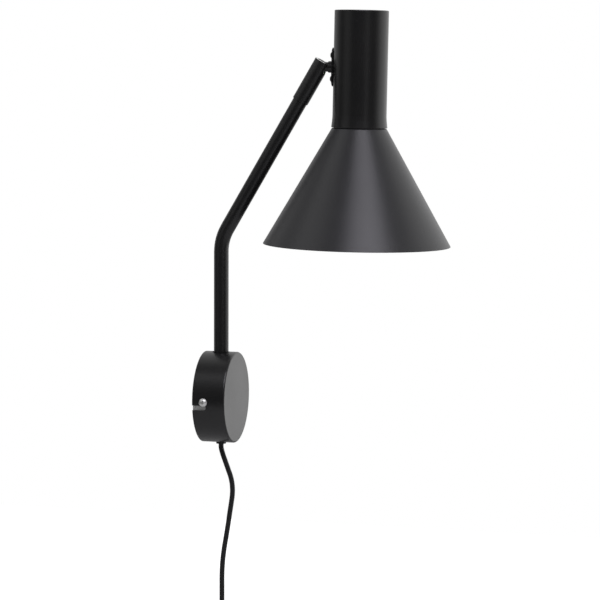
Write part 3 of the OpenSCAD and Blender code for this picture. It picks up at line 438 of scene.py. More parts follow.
coatLooks = {
    "satinBlackCoat": {
        "grain": {"Base": (0.0075, 0.0075, 0.0078), "Drifted": (0.0095, 0.0094, 0.0093), "Roughness": 0.32,
                  "Spread": 0.10, "Grain Scale": 2300.0, "Drift Scale": 20.0, "Dust": 0.08},
        "edgeRadius": 0.0004, "edgeGain": 2.0, "edgeTone": (0.05, 0.05, 0.05), "bump": 0.22, "bumpDepth": 0.00012,
        "shader": {"Specular IOR Level": 0.5},
    },
    "shadeBlackCoat": {
        "grain": {"Base": (0.0135, 0.0135, 0.0155), "Drifted": (0.017, 0.0168, 0.0185), "Roughness": 0.38,
                  "Spread": 0.08, "Grain Scale": 2300.0, "Drift Scale": 15.0, "Dust": 0.06},
        "edgeRadius": 0.0003, "edgeGain": 2.0, "edgeTone": (0.06, 0.06, 0.062), "bump": 0.2, "bumpDepth": 0.00012,
        "shader": {"Specular IOR Level": 0.5},
    },
    "shadeWhiteEnamel": {
        "grain": {"Base": (0.78, 0.77, 0.75), "Drifted": (0.72, 0.71, 0.685), "Roughness": 0.42, "Spread": 0.12,
                  "Grain Scale": 1900.0, "Drift Scale": 18.0, "Dust": 0.05},
        "edgeRadius": 0.0003, "edgeGain": 1.0, "edgeTone": (0.3, 0.3, 0.3), "bump": 0.18, "bumpDepth": 0.00012,
        "shader": {"Specular IOR Level": 0.5},
    },
    "mouldedBlack": {
        "grain": {"Base": (0.012, 0.012, 0.013), "Drifted": (0.018, 0.018, 0.019), "Roughness": 0.5,
                  "Spread": 0.14, "Grain Scale": 3600.0, "Drift Scale": 45.0, "Dust": 0.12},
        "edgeRadius": 0.0003, "edgeGain": 2.0, "edgeTone": (0.045, 0.045, 0.047),
        "bump": 0.3, "bumpDepth": 0.0001,
        "shader": {"Specular IOR Level": 0.45},
    },
    "glossyRocker": {
        "grain": {"Base": (0.014, 0.014, 0.016), "Drifted": (0.02, 0.02, 0.022), "Roughness": 0.2, "Spread": 0.16,
                  "Grain Scale": 1500.0, "Drift Scale": 160.0, "Dust": 0.1},
        "edgeRadius": 0.0002, "edgeGain": 1.5, "edgeTone": (0.05, 0.05, 0.055), "bump": 0.08, "bumpDepth": 0.0001,
        "shader": {"Specular IOR Level": 0.5},
    },
    "cordJacket": {
        "grain": {"Base": (0.005, 0.005, 0.0052), "Drifted": (0.009, 0.009, 0.0094), "Roughness": 0.52,
                  "Spread": 0.16, "Grain Scale": 4200.0, "Drift Scale": 60.0, "Dust": 0.16},
        "edgeRadius": 0.0002, "edgeGain": 1.0, "edgeTone": (0.03, 0.03, 0.03), "bump": 0.3, "bumpDepth": 0.00008,
        "shader": {"Specular IOR Level": 0.4},
    },
    "leadSheath": {
        "grain": {"Base": (0.74, 0.72, 0.66), "Drifted": (0.64, 0.61, 0.54), "Roughness": 0.42, "Spread": 0.15,
                  "Grain Scale": 3000.0, "Drift Scale": 60.0, "Dust": 0.1},
        "edgeRadius": 0.0002, "edgeGain": 0.8, "edgeTone": (0.5, 0.47, 0.4), "bump": 0.2, "bumpDepth": 0.00008,
        "shader": {"Specular IOR Level": 0.45},
    },
    "naturalNylon": {
        "grain": {"Base": (0.78, 0.75, 0.66), "Drifted": (0.68, 0.64, 0.54), "Roughness": 0.46, "Spread": 0.16,
                  "Grain Scale": 2600.0, "Drift Scale": 80.0, "Dust": 0.14},
        "edgeRadius": 0.0003, "edgeGain": 1.0, "edgeTone": (0.86, 0.84, 0.78), "bump": 0.2, "bumpDepth": 0.0001,
        "shader": {"Specular IOR Level": 0.45, "Subsurface Weight": 0.12, "Subsurface Scale": 0.002},
    },
    "bulbWhite": {
        "grain": {"Base": (0.84, 0.84, 0.81), "Drifted": (0.78, 0.775, 0.74), "Roughness": 0.38, "Spread": 0.14,
                  "Grain Scale": 3200.0, "Drift Scale": 50.0, "Dust": 0.1},
        "edgeRadius": 0.0004, "edgeGain": 1.0, "edgeTone": (0.7, 0.7, 0.67), "bump": 0.16, "bumpDepth": 0.0001,
        "shader": {"Specular IOR Level": 0.5},
    },
    "opalDiffuser": {
        "grain": {"Base": (0.9, 0.885, 0.84), "Drifted": (0.84, 0.82, 0.76), "Roughness": 0.3, "Spread": 0.12,
                  "Grain Scale": 2400.0, "Drift Scale": 30.0, "Dust": 0.08},
        "edgeRadius": 0.0004, "edgeGain": 0.5, "edgeTone": (0.7, 0.68, 0.62), "bump": 0.1, "bumpDepth": 0.0001,
        "shader": {"Specular IOR Level": 0.5, "Subsurface Weight": 0.35, "Subsurface Scale": 0.006},
    },
}
metalLooks = {
    "brightZinc": {
        "drawn": {"Bright": (0.84, 0.84, 0.82), "Dull": (0.64, 0.64, 0.62), "Roughness": 0.36, "Spread": 0.3,
                  "Stretch": (1.0, 9.0, 9.0), "Line Scale": 420.0, "Stain Scale": 120.0},
        "metallic": 0.7,
        "edgeRadius": 0.0002, "edgeGain": 2.0, "edgeTone": (0.85, 0.85, 0.85), "bump": 0.12, "bumpDepth": 0.0001,
    },
    "plainSteel": {
        "drawn": {"Bright": (0.5, 0.5, 0.5), "Dull": (0.3, 0.295, 0.29), "Roughness": 0.36, "Spread": 0.3,
                  "Stretch": (9.0, 9.0, 1.0), "Line Scale": 420.0, "Stain Scale": 80.0},
        "metallic": 1.0,
        "edgeRadius": 0.0002, "edgeGain": 2.0, "edgeTone": (0.7, 0.7, 0.7), "bump": 0.14, "bumpDepth": 0.0001,
    },
    "nickelPlate": {
        "drawn": {"Bright": (0.76, 0.74, 0.7), "Dull": (0.6, 0.57, 0.52), "Roughness": 0.18, "Spread": 0.25,
                  "Stretch": (9.0, 9.0, 1.0), "Line Scale": 500.0, "Stain Scale": 140.0},
        "metallic": 1.0,
        "edgeRadius": 0.0002, "edgeGain": 2.0, "edgeTone": (0.85, 0.84, 0.8), "bump": 0.08, "bumpDepth": 0.0001,
    },
    "plainBrass": {
        "drawn": {"Bright": (0.8, 0.6, 0.27), "Dull": (0.55, 0.38, 0.15), "Roughness": 0.28, "Spread": 0.3,
                  "Stretch": (9.0, 9.0, 1.0), "Line Scale": 480.0, "Stain Scale": 120.0},
        "metallic": 1.0,
        "edgeRadius": 0.0002, "edgeGain": 2.0, "edgeTone": (0.9, 0.72, 0.4), "bump": 0.1, "bumpDepth": 0.0001,
    },
}


barrelLook = {
    "edgeRadius": 0.00025, "edgeGain": 3.0, "bump": 0.2, "bumpDepth": 0.00012,
    "boreMargin": 0.00012, "endMargin": 0.00008, "slotFloor": -0.0075,
}


# The knuckle's steel is blackened outside and bare where it was sawn
def makeSawnBarrel(setup):
    material, tree, shader = startMaterial("sawnBarrel")
    look = coatLooks["satinBlackCoat"]
    grain = placeGroup(tree, grainGroup, look["grain"])
    drawn = placeGroup(tree, drawnGroup, metalLooks["brightZinc"]["drawn"])
    edge = placeGroup(tree, edgeGroup, {"Radius": setup["edgeRadius"], "Gain": setup["edgeGain"]})
    local = addNode(tree, "ShaderNodeMapping", vector_type="TEXTURE")
    local.inputs["Location"].default_value = lamp["knuckle"]
    local.inputs["Rotation"].default_value = (0, math.radians(lamp["slantDeg"]), 0)
    tree.links.new(addNode(tree, "ShaderNodeTexCoord").outputs["Object"], local.inputs[0])
    parts = addNode(tree, "ShaderNodeSeparateXYZ")
    tree.links.new(local.outputs[0], parts.inputs[0])
    squares = [addMath(tree, "MULTIPLY", parts.outputs[i], parts.outputs[i]) for i in range(2)]
    radius = addMath(tree, "SQRT", addMath(tree, "ADD", squares[0], squares[1]))
    inside = addMath(tree, "LESS_THAN", radius, lamp["barrelRadius"] - setup["boreMargin"])
    end = addMath(tree, "GREATER_THAN", parts.outputs[2], lamp["barrelLip"] - setup["endMargin"])
    upper = addMath(tree, "GREATER_THAN", parts.outputs[2], setup["slotFloor"])
    bare = addMath(tree, "MAXIMUM", addMath(tree, "MULTIPLY", inside, upper), end)
    tone = addMix(tree, bare, grain.outputs["Color"], drawn.outputs["Color"])
    tree.links.new(tone, shader.inputs["Base Color"])
    rough = addNode(tree, "ShaderNodeMix", data_type="FLOAT")
    for socket, value in zip(rough.inputs, (bare, grain.outputs["Roughness"], drawn.outputs["Roughness"])):
        tree.links.new(value, socket)
    tree.links.new(rough.outputs[0], shader.inputs["Roughness"])
    tree.links.new(bare, shader.inputs["Metallic"])
    finishBump(tree, shader, grain.outputs["Height"], edge.outputs["Normal"], setup["bump"], setup["bumpDepth"])
    return material


strapLook = {
    "weave": {"Thread": (0.02, 0.02, 0.022), "Gap": (0.004, 0.004, 0.004), "Threads": 1100.0},
    "rougher": 0.3, "bump": 0.6, "bumpDepth": 0.0002,
    "shader": {"Sheen Weight": 0.3, "Sheen Roughness": 0.5},
}


def makeStrap(look):
    material, tree, shader = startMaterial("wovenStrap")
    weave = placeGroup(tree, weaveGroup, look["weave"])
    grain = placeGroup(tree, grainGroup, coatLooks["mouldedBlack"]["grain"])
    tree.links.new(weave.outputs["Color"], shader.inputs["Base Color"])
    rough = addMath(tree, "ADD", grain.outputs["Roughness"], look["rougher"], True)
    tree.links.new(rough, shader.inputs["Roughness"])
    finishBump(tree, shader, weave.outputs["Height"], None, look["bump"], look["bumpDepth"])
    setShader(shader, look["shader"])
    return material


looks = {name: makeCoat(name, look) for name, look in coatLooks.items()}
looks.update({name: makeMetal(name, look) for name, look in metalLooks.items()})
looks["sawnBarrel"] = makeSawnBarrel(barrelLook)
looks["wovenStrap"] = makeStrap(strapLook)

slotLooks = {
    "black_coat": "satinBlackCoat", "shade_coat": "shadeBlackCoat", "black_steel": "satinBlackCoat",
    "zinc": "brightZinc", "raw_steel": "plainSteel", "black_plastic": "mouldedBlack",
    "switch_plastic": "mouldedBlack", "rocker_plastic": "glossyRocker", "cord_jacket": "cordJacket",
    "tie_strap": "wovenStrap", "plug_plastic": "mouldedBlack", "nickel": "nickelPlate", "nylon": "naturalNylon",
    "brass": "plainBrass", "lead_sheath": "leadSheath", "bulb_plastic": "bulbWhite", "bulb_opal": "opalDiffuser",
}
nodeLooks = {"joint_barrel": "sawnBarrel"}  # nodes that differ from the rest of their slot


def dressFrame():
    for part in frame["record"]["subparts"]:
        name = nodeLooks.get(part["node"], slotLooks[part["material_slot"]])
        slots = cadNodes[part["node"]].data.materials
        slots.clear()
        slots.append(looks[name])


dressFrame()
powerCord.data.materials.append(looks["cordJacket"])
print("materials made,", len(looks))


# pieces
weldDistance = 0.000002


def finishPiece(bm, name, body, materials, stands, smoothDeg=35):
    bmesh.ops.remove_doubles(bm, verts=bm.verts, dist=weldDistance)
    bmesh.ops.recalc_face_normals(bm, faces=bm.faces)
    mesh = bpy.data.meshes.new(name)
    bm.to_mesh(mesh)
    bm.free()
    for material in materials:
        mesh.materials.append(looks[material])
    mesh.shade_smooth()
    mesh.set_sharp_from_angle(angle=math.radians(smoothDeg))
    piece = bpy.data.objects.new(name, mesh)
    bpy.context.scene.collection.objects.link(piece)
    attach(piece, body)
    if stands:
        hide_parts(*stands)
    return piece


# A flat face with rounded corners, to be pulled up in steps
def roundedFace(bm, width, height, radius, segments=8):
    made = bmesh.ops.create_grid(bm, x_segments=1, y_segments=1, size=0.5)
    bmesh.ops.scale(bm, vec=(width, height, 1), verts=made["verts"])
    bmesh.ops.bevel(bm, geom=made["verts"], offset=radius, affect="VERTICES", segments=segments, profile=0.5,
                    material=-1)
    return bm.faces[:][0]


# Pulls a face through steps of (height, width, depth) measured from the axis
def pullFace(bm, face, steps):
    for height, width, depth in steps:
        moved = bmesh.ops.extrude_face_region(bm, geom=[face])["geom"]
        verts = [v for v in moved if isinstance(v, bmesh.types.BMVert)]
        top = [f for f in moved if isinstance(f, bmesh.types.BMFace)][0]
        spanX = max(v.co.x for v in verts) - min(v.co.x for v in verts)
        spanY = max(v.co.y for v in verts) - min(v.co.y for v in verts)
        bmesh.ops.scale(bm, vec=(width / spanX, depth / spanY, 1), verts=verts)
        bmesh.ops.translate(bm, vec=(0, 0, height - verts[0].co.z), verts=verts)
        if face.is_valid and len(face.edges[0].link_faces) > 2:
            bmesh.ops.delete(bm, geom=[face], context="FACES_ONLY")
        face = top
    return face


def closeHoles(bm):
    bmesh.ops.holes_fill(bm, edges=[e for e in bm.edges if e.is_boundary], sides=0)


# Spins a closed outline of (radius, height) round the axis
def spinProfile(bm, profile, steps):
    verts = [bm.verts.new((r, 0, z)) for r, z in profile]
    edges = [bm.edges.new(pair) for pair in zip(verts, verts[1:])]
    edges.append(bm.edges.new((verts[-1], verts[0])))
    bmesh.ops.spin(bm, geom=verts + edges, cent=(0, 0, 0), axis=(0, 0, 1), dvec=(0, 0, 0), angle=math.tau,
                   steps=steps, use_merge=True)


shadeSetup = {
    "topRadius": 0.0265, "seatRadius": 0.0202, "rimRadius": 0.09,
    "top": -0.0578, "rim": -0.1693, "wall": 0.0008, "steps": 192,
    # steps round the corners, each as (radius, height) from the sharp corner
    "shoulder": [(-0.0009, 0), (-0.0004, -0.0001), (-0.0001, -0.0004), (0.0002, -0.0009)],
    "rimOutside": [(-0.0002, 0.0005), (0, 0.0002), (-0.0001, 0)],
    "rimInside": [(0.0001, 0), (0, 0.0003)],
    "throat": [(0, -0.0004), (-0.0005, 0)],
    "facesIn": -0.3, "facesDown": -0.9, "lowestCeiling": 0.05,  # which faces are the enamelled inside
}


def makeShade(setup):
    bm = bmesh.new()
    slope = math.atan((setup["rimRadius"] - setup["topRadius"]) / (setup["top"] - setup["rim"]))
    side = setup["wall"] / math.cos(slope)
    top, rim, wall = setup["top"], setup["rim"], setup["wall"]
    topRadius, rimRadius, seat = setup["topRadius"], setup["rimRadius"], setup["seatRadius"]
    corners = [
        (topRadius, top, setup["shoulder"]), (rimRadius, rim, setup["rimOutside"]),
        (rimRadius - side, rim, setup["rimInside"]), (topRadius - side, top - wall, setup["throat"]),
    ]
    profile = [(radius + out, height + up) for radius, height, steps in corners for out, up in steps]
    spinProfile(bm, [(seat, top), *profile, (seat, top - wall)], setup["steps"])
    bmesh.ops.recalc_face_normals(bm, faces=bm.faces)
    for face in bm.faces:
        centre = face.calc_center_median()
        outward = Vector((centre.x, centre.y, 0)).normalized()
        ceiling = face.normal.z < setup["facesDown"] and centre.z > rim + setup["lowestCeiling"]
        face.material_index = 1 if ceiling or face.normal.dot(outward) < setup["facesIn"] else 0
    bmesh.ops.transform(bm, matrix=headPlace, verts=bm.verts)
    finishPiece(bm, "coneShade", "head", ["shadeBlackCoat", "shadeWhiteEnamel"], ["cone_shade"])


makeShade(shadeSetup)
print("shade made")


# Turns what is drawn flat to face the room: its width to Y, its height to Z and its depth out along X
outwards = Matrix(((0, 0, 1, 0), (1, 0, 0, 0), (0, 1, 0, 0), (0, 0, 0, 1)))
switchSetup = {
    "centre": (0.017, 0.0, -0.245), "width": 0.026, "length": 0.06, "corner": 0.009, "half": 0.009,
    "window": (0.0108, 0.0184), "pocket": 0.0015, "seam": 0.0003,
    "parting": 0.00002,  # each half starts this far from the seam's middle
    # steps in from the outline, each as (height over the face, inset)
    "backInset": 0.0031,
    "backSteps": [(0.00015, 0.0021), (0.0006, 0.0012), (0.0013, 0.0005), (0.0023, 0.0001), (0.0032, 0)],
    "frontSteps": [(-0.0036, 0), (-0.0024, 0.00025), (-0.0014, 0.0008), (-0.0006, 0.0017), (-0.0001, 0.0029),
                   (0, 0.0042)],
    "windowSteps": [(0, 0.0012), (-0.00015, 0.0004), (-0.0006, 0)],
}


def insetSteps(setup, pairs):
    return [(height, setup["width"] - 2 * inset, setup["length"] - 2 * inset) for height, inset in pairs]


# The switch's outline at a height, drawn in by an inset
def switchFace(bm, setup, height, inset):
    width, length = setup["width"], setup["length"]
    face = roundedFace(bm, width, length, setup["corner"])
    bmesh.ops.translate(bm, vec=(0, 0, height), verts=bm.verts)
    bmesh.ops.scale(bm, vec=((width - 2 * inset) / width, (length - 2 * inset) / length, 1), verts=bm.verts)
    return face


def placeSwitch(bm, setup):
    bmesh.ops.transform(bm, matrix=Matrix.Translation(setup["centre"]) @ outwards, verts=bm.verts)


def makeSwitch(setup):
    half, seam, parting = setup["half"], setup["seam"], setup["parting"]
    back = bmesh.new()
    face = switchFace(back, setup, -half, setup["backInset"])
    steps = [(-half + up, inset) for up, inset in setup["backSteps"]]
    pullFace(back, face, insetSteps(setup, [*steps, (-seam, 0), (-parting, seam)]))
    closeHoles(back)
    placeSwitch(back, setup)
    finishPiece(back, "switchBackShell", "base", ["mouldedBlack"], ["switch_base"])
    front = bmesh.new()
    face = switchFace(front, setup, parting, seam)
    steps = [(half + up, inset) for up, inset in setup["frontSteps"]]
    face = pullFace(front, face, insetSteps(setup, [(seam, 0), *steps]))
    width, length = setup["window"]
    steps = [(half + up, width + wider, length + wider) for up, wider in setup["windowSteps"]]
    pullFace(front, face, [*steps, (setup["pocket"], width, length)])
    closeHoles(front)
    placeSwitch(front, setup)
    finishPiece(front, "switchFrontShell", "base", ["mouldedBlack"], ["switch_cover"])


rockerSetup = {
    "pivot": (0.022, 0.0, -0.245), "tiltDeg": -8.0, "width": 0.01, "length": 0.0166, "corner": 0.0024,
    "middle": 0.0041, "dish": 0.0011,  # height over the pivot, and how much more the ends have
    "gripHeight": 0.00035, "gripPitch": 0.0011, "gripFrom": -0.92, "gripTo": -0.5, "gripHalfWidth": 0.4,
    "edgeDrop": 0.0004, "edgeFrom": 0.8, "foot": -0.0012, "footShare": 0.8,
    "cellsAcross": 4, "cellsAlong": 48, "cornerSteps": 6, "smoothDeg": 40,
}


# The key is dished along its length and has grip lines at its lower end
def makeRocker(setup):
    bm = bmesh.new()
    width, length = setup["width"], setup["length"]
    made = bmesh.ops.create_grid(bm, x_segments=setup["cellsAcross"], y_segments=setup["cellsAlong"], size=0.5)
    bmesh.ops.scale(bm, vec=(width, length, 1), verts=made["verts"])
    corners = [v for v in bm.verts if len(v.link_edges) == 2]
    bmesh.ops.bevel(bm, geom=corners, offset=setup["corner"], affect="VERTICES", segments=setup["cornerSteps"],
                    profile=0.5, material=-1)
    for vert in bm.verts:
        share = vert.co.y / (length / 2)
        dish = setup["middle"] + setup["dish"] * share * share
        wave = math.sin((vert.co.y + length / 2) / setup["gripPitch"] * math.tau)
        gripped = setup["gripFrom"] < share < setup["gripTo"] and abs(vert.co.x) < width * setup["gripHalfWidth"]
        grip = setup["gripHeight"] * max(0.0, wave) if gripped else 0
        pastEdge = max(0.0, abs(vert.co.x) / (width / 2) - setup["edgeFrom"])
        vert.co.z = dish + grip - setup["edgeDrop"] * pastEdge / (1 - setup["edgeFrom"])
    top = bm.faces[:]
    moved = bmesh.ops.extrude_face_region(bm, geom=top)["geom"]
    down = [v for v in moved if isinstance(v, bmesh.types.BMVert)]
    for vert in down:
        vert.co.z = setup["foot"]
        vert.co.y *= setup["footShare"]
    tilt = Matrix.Rotation(math.radians(setup["tiltDeg"]), 4, "Y")
    bmesh.ops.transform(bm, matrix=Matrix.Translation(setup["pivot"]) @ tilt @ outwards, verts=bm.verts)
    finishPiece(bm, "switchKey", "rocker", ["glossyRocker"], ["switch_rocker"],
                setup["smoothDeg"])


makeSwitch(switchSetup)
makeRocker(rockerSetup)
print("switch made")


sleeveSetup = {
    "bore": 0.0051, "root": 0.0098, "tip": 0.0074, "length": 0.0075, "ribs": 3,
    "tuck": 0.001, "ribShare": 0.62, "ribDepth": 0.0005, "ribEase": 0.0002, "tipEase": 0.0007, "steps": 32,
}


# Ribbed sleeves where the cord enters each end of the switch
def makeSleeves(setup, switch):
    bm = bmesh.new()
    bore, root, tip = setup["bore"] / 2, setup["root"] / 2, setup["tip"] / 2
    length, ribs = setup["length"], setup["ribs"]
    profile = [(bore, -setup["tuck"]), (root, -setup["tuck"])]
    for rib in range(ribs):
        low, high = rib / ribs, (rib + setup["ribShare"]) / ribs
        for share in (low, high):
            r, z = root + (tip - root) * share, share * length
            rise = [(r - setup["ribDepth"], z), (r, z + setup["ribEase"])]
            profile += rise if share == low else rise[::-1]
    profile += [(tip - setup["tipEase"], length), (bore, length)]
    spinProfile(bm, profile, setup["steps"])
    x, _, z = switch["centre"]
    bmesh.ops.translate(bm, vec=(x, 0, z + switch["length"] / 2), verts=bm.verts)
    lower = bmesh.ops.duplicate(bm, geom=bm.verts[:] + bm.edges[:] + bm.faces[:])["geom"]
    lower = [v for v in lower if isinstance(v, bmesh.types.BMVert)]
    there, back = Matrix.Translation(switch["centre"]), Matrix.Translation(-Vector(switch["centre"]))
    bmesh.ops.transform(bm, matrix=there @ Matrix.Rotation(math.pi, 4, "X") @ back, verts=lower)
    finishPiece(bm, "switchSleeves", "base", ["mouldedBlack"], [])


makeSleeves(sleeveSetup, switchSetup)


plugSetup = {
    "place": (0.0298, -0.0202, 0.0), "top": -0.361,
    "length": 0.036, "width": 0.0353, "depth": 0.0137, "corner": 0.0058, "footInset": 0.0012,
    # steps up from the foot, each as (height, narrower, thinner)
    "footSteps": [(0.0002, 0.0004, 0.0004), (0.0008, 0, 0), (0.004, 0, 0)],
    "grooves": 4, "grooveStart": 0.0044, "groovePitch": 0.0032,
    "grooveSteps": [(0, 0), (0.0004, 0.0009), (0.0012, 0.0009), (0.0016, 0)],
    "shoulderSteps": [
        (0.0205, 0.0003, 0), (0.0225, 0.0022, 0.0001), (0.026, 0.0085, 0.0004), (0.030, 0.0165, 0.001),
        (0.0335, 0.0222, 0.0016), (0.0354, 0.0245, 0.0024), (0.036, 0.0262, 0.0042)],
    "boot": 0.014, "bootBore": 0.00253, "bootTuck": 0.002,
    "bootRoot": 0.0053, "bootTaper": 0.0018, "bootTip": 0.0032,
    "ribs": 5, "ribTop": 0.0017, "grooveFrom": 0.002, "grooveTo": 0.0025, "grooveDepth": 0.0009, "steps": 32,
}


def makePlug(setup):
    neck = setup["top"] - setup["boot"]
    foot = neck - setup["length"]
    width, depth = setup["width"], setup["depth"]
    bm = bmesh.new()
    face = roundedFace(bm, width - setup["footInset"], depth - setup["footInset"], setup["corner"])
    bmesh.ops.translate(bm, vec=(0, 0, foot), verts=bm.verts)
    steps = [(foot + up, width - narrower, depth - thinner) for up, narrower, thinner in setup["footSteps"]]
    for groove in range(setup["grooves"]):
        base = foot + setup["grooveStart"] + groove * setup["groovePitch"]
        steps += [(base + up, width - inset, depth - inset) for up, inset in setup["grooveSteps"]]
    steps += [(foot + up, width - narrower, depth - thinner) for up, narrower, thinner in setup["shoulderSteps"]]
    pullFace(bm, face, steps)
    closeHoles(bm)
    turned = Matrix.Translation(setup["place"]) @ Matrix.Rotation(math.pi / 2, 4, "Z")
    bmesh.ops.transform(bm, matrix=turned, verts=bm.verts)
    shell = finishPiece(bm, "plugShell", "base", ["mouldedBlack"], ["plug_body"])
    bm = bmesh.new()
    bore, root, low = setup["bootBore"], setup["bootRoot"], neck - setup["bootTuck"]
    profile = [(bore, low), (root, low)]
    for rib in range(setup["ribs"]):
        share = rib / setup["ribs"]
        r = root - setup["bootTaper"] * share
        z = neck + share * setup["boot"]
        inner = r - setup["grooveDepth"]
        profile += [(r, z), (r, z + setup["ribTop"])]
        profile += [(inner, z + setup["grooveFrom"]), (inner, z + setup["grooveTo"])]
    profile += [(setup["bootTip"], setup["top"]), (bore, setup["top"])]
    spinProfile(bm, profile, setup["steps"])
    bmesh.ops.translate(bm, vec=setup["place"], verts=bm.verts)
    boot = finishPiece(bm, "plugBoot", "base", ["mouldedBlack"], [])
    return shell, boot


plugShell, plugBoot = makePlug(plugSetup)


tieSetup = {
    "turnDeg": -15.0, "width": 0.0062, "thick": 0.0011, "middle": 0.025, "across": 0.0204, "deep": 0.0153,
    "corner": 0.0034, "cuts": 6, "longest": 0.004,  # longer edges are cut
}


# A strap once round the coil's section
def makeTie(setup, coil):
    bm = bmesh.new()
    roundedFace(bm, setup["across"] + 2 * setup["thick"], setup["deep"] + 2 * setup["thick"], setup["corner"])
    bmesh.ops.delete(bm, geom=bm.faces[:], context="FACES_ONLY")
    longEdges = [e for e in bm.edges if e.calc_length() > setup["longest"]]
    bmesh.ops.subdivide_edges(bm, edges=longEdges, cuts=setup["cuts"])
    start = bm.edges[:]
    for step in range(setup["cuts"]):
        moved = bmesh.ops.extrude_edge_only(bm, edges=start)["geom"]
        verts = [v for v in moved if isinstance(v, bmesh.types.BMVert)]
        bmesh.ops.translate(bm, vec=(0, 0, setup["width"] / setup["cuts"]), verts=verts)
        start = [e for e in moved if isinstance(e, bmesh.types.BMEdge)]
    bmesh.ops.recalc_face_normals(bm, faces=bm.faces)
    uv = bm.loops.layers.uv.new("UVMap")
    for face in bm.faces:
        flat = abs(face.normal.x) < abs(face.normal.y)
        for loop in face.loops:
            loop[uv].uv = (loop.vert.co.x if flat else loop.vert.co.y, loop.vert.co.z)
    bmesh.ops.solidify(bm, geom=bm.faces[:], thickness=setup["thick"])
    bmesh.ops.translate(bm, vec=(0, 0, -setup["width"] / 2), verts=bm.verts)
    stand = Matrix(((1, 0, 0, 0), (0, 0, 1, 0), (0, 1, 0, setup["middle"]), (0, 0, 0, 1)))
    turn = Matrix.Translation(coil["centre"]) @ Matrix.Rotation(math.radians(setup["turnDeg"]), 4, "X")
    bmesh.ops.transform(bm, matrix=turn @ stand, verts=bm.verts)
    return finishPiece(bm, "coilTie", "base", ["wovenStrap"], ["coil_tie"])


coilTie = makeTie(tieSetup, coilSetup)
print("plug and tie made")

onCord = [cadNodes[n] for n in ("cord_bush", "plug_pins", "switch_screws")]
onCord += [bpy.data.objects[n] for n in ("switchBackShell", "switchFrontShell", "switchSleeves", "switchKey")]


# studio
studioSetup = {
    "floorDrop": 0.06, "floorSize": 3.6, "floorTone": (0.6, 0.6, 0.6), "floorLift": 0.9,
    "floorGrain": {"Drifted": (0.57, 0.57, 0.57), "Roughness": 0.7, "Spread": 0.05, "Grain Scale": 400.0,
                   "Drift Scale": 3.0, "Dust": 0.0},
    "frontGlow": 0.05, "backGlow": 1.15, "leftShare": 0.45, "seenGlow": 1.0,
    "frontToBack": (-0.25, 0.45), "leftToRight": (-0.6, 0.4),  # where the glow changes, as a direction's share
    "aim": (0.1, 0, 0.15),
    "lights": [
        {"name": "topSoftbox", "place": (0.95, -1.47, 1.97), "size": (1.9, 0.9), "power": 38.0,
         "tint": (0.94, 0.92, 1.0)},
        {"name": "leftSoftbox", "place": (-1.3, -0.8, 1.6), "size": (1.6, 1.2), "power": 6.0},
        {"name": "leftFill", "place": (-1.6, -1.6, 0.7), "size": (1.4, 1.6), "power": 2.0},
        {"name": "frontStrip", "place": (1.28, -1.36, 0.4), "size": (0.2, 1.4), "power": 0.6},
    ],
}


def makeFloor(setup, bottom):
    bm = bmesh.new()
    bmesh.ops.create_grid(bm, x_segments=1, y_segments=1, size=setup["floorSize"] / 2)
    bmesh.ops.translate(bm, vec=(0, 0, bottom - setup["floorDrop"]), verts=bm.verts)
    mesh = bpy.data.meshes.new("studioFloor")
    bm.to_mesh(mesh)
    bm.free()
    material, tree, shader = startMaterial("paleFloor")
    grain = placeGroup(tree, grainGroup, {"Base": setup["floorTone"], **setup["floorGrain"]})
    tree.links.new(grain.outputs["Color"], shader.inputs["Base Color"])
    tree.links.new(grain.outputs["Roughness"], shader.inputs["Roughness"])
    # the floor is lifted to white only where the camera sees it, so it doesn't light the lamp from below
    setShader(shader, {"Emission Color": (setup["floorLift"],) * 3 + (1,)})
    seen = addNode(tree, "ShaderNodeLightPath").outputs["Is Camera Ray"]
    tree.links.new(seen, shader.inputs["Emission Strength"])
    mesh.materials.append(material)
    floor = bpy.data.objects.new("studioFloor", mesh)
    bpy.context.scene.collection.objects.link(floor)


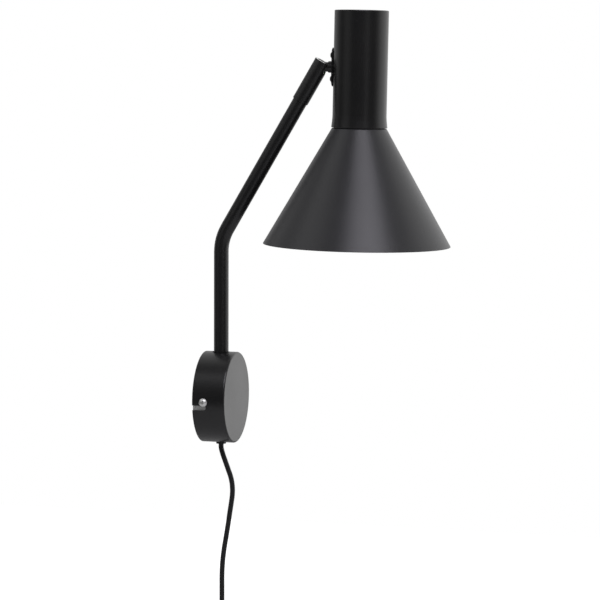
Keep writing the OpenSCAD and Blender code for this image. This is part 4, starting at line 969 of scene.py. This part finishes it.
def makeLights(setup):
    for look in setup["lights"]:
        data = bpy.data.lights.new(look["name"], "AREA")
        data.shape = "RECTANGLE"
        data.size, data.size_y = look["size"]
        data.energy = look["power"]
        data.color = look.get("tint", (1, 1, 1))
        light = bpy.data.objects.new(look["name"], data)
        bpy.context.scene.collection.objects.link(light)
        light.location = look["place"]
        aim = Vector(setup["aim"]) - Vector(look["place"])
        light.rotation_mode = "QUATERNION"
        light.rotation_quaternion = aim.to_track_quat("-Z", "Y")


# Bright behind the lamp and dim in front of it, as in a studio with a white backdrop
def makeWorld(setup):
    world = bpy.data.worlds.new("studioAir")
    bpy.context.scene.world = world
    world.use_nodes = True
    tree = world.node_tree
    background = tree.nodes["Background"]
    parts = addNode(tree, "ShaderNodeSeparateXYZ")
    tree.links.new(addNode(tree, "ShaderNodeTexCoord").outputs["Generated"], parts.inputs[0])
    span = addNode(tree, "ShaderNodeMapRange", interpolation_type="SMOOTHSTEP")
    span.inputs["From Min"].default_value, span.inputs["From Max"].default_value = setup["frontToBack"]
    span.inputs["To Min"].default_value = setup["frontGlow"]
    tree.links.new(parts.outputs[1], span.inputs["Value"])
    sides = addNode(tree, "ShaderNodeMapRange", interpolation_type="SMOOTHSTEP")
    sides.inputs["From Min"].default_value, sides.inputs["From Max"].default_value = setup["leftToRight"]
    sides.inputs["To Min"].default_value = setup["backGlow"] * setup["leftShare"]
    sides.inputs["To Max"].default_value = setup["backGlow"]
    tree.links.new(parts.outputs[0], sides.inputs["Value"])
    tree.links.new(sides.outputs["Result"], span.inputs["To Max"])
    seen = addNode(tree, "ShaderNodeLightPath").outputs["Is Camera Ray"]
    tone = addNode(tree, "ShaderNodeMix", data_type="FLOAT")
    tree.links.new(seen, tone.inputs[0])
    tree.links.new(span.outputs["Result"], tone.inputs[2])
    tone.inputs[3].default_value = setup["seenGlow"]
    tree.links.new(tone.outputs[0], background.inputs["Strength"])
    background.inputs["Color"].default_value = (1, 1, 1, 1)


makeFloor(studioSetup, cadBox[0][2])
makeLights(studioSetup)
makeWorld(studioSetup)
bpy.context.scene.view_settings.view_transform = "Standard"
print("studio lit")
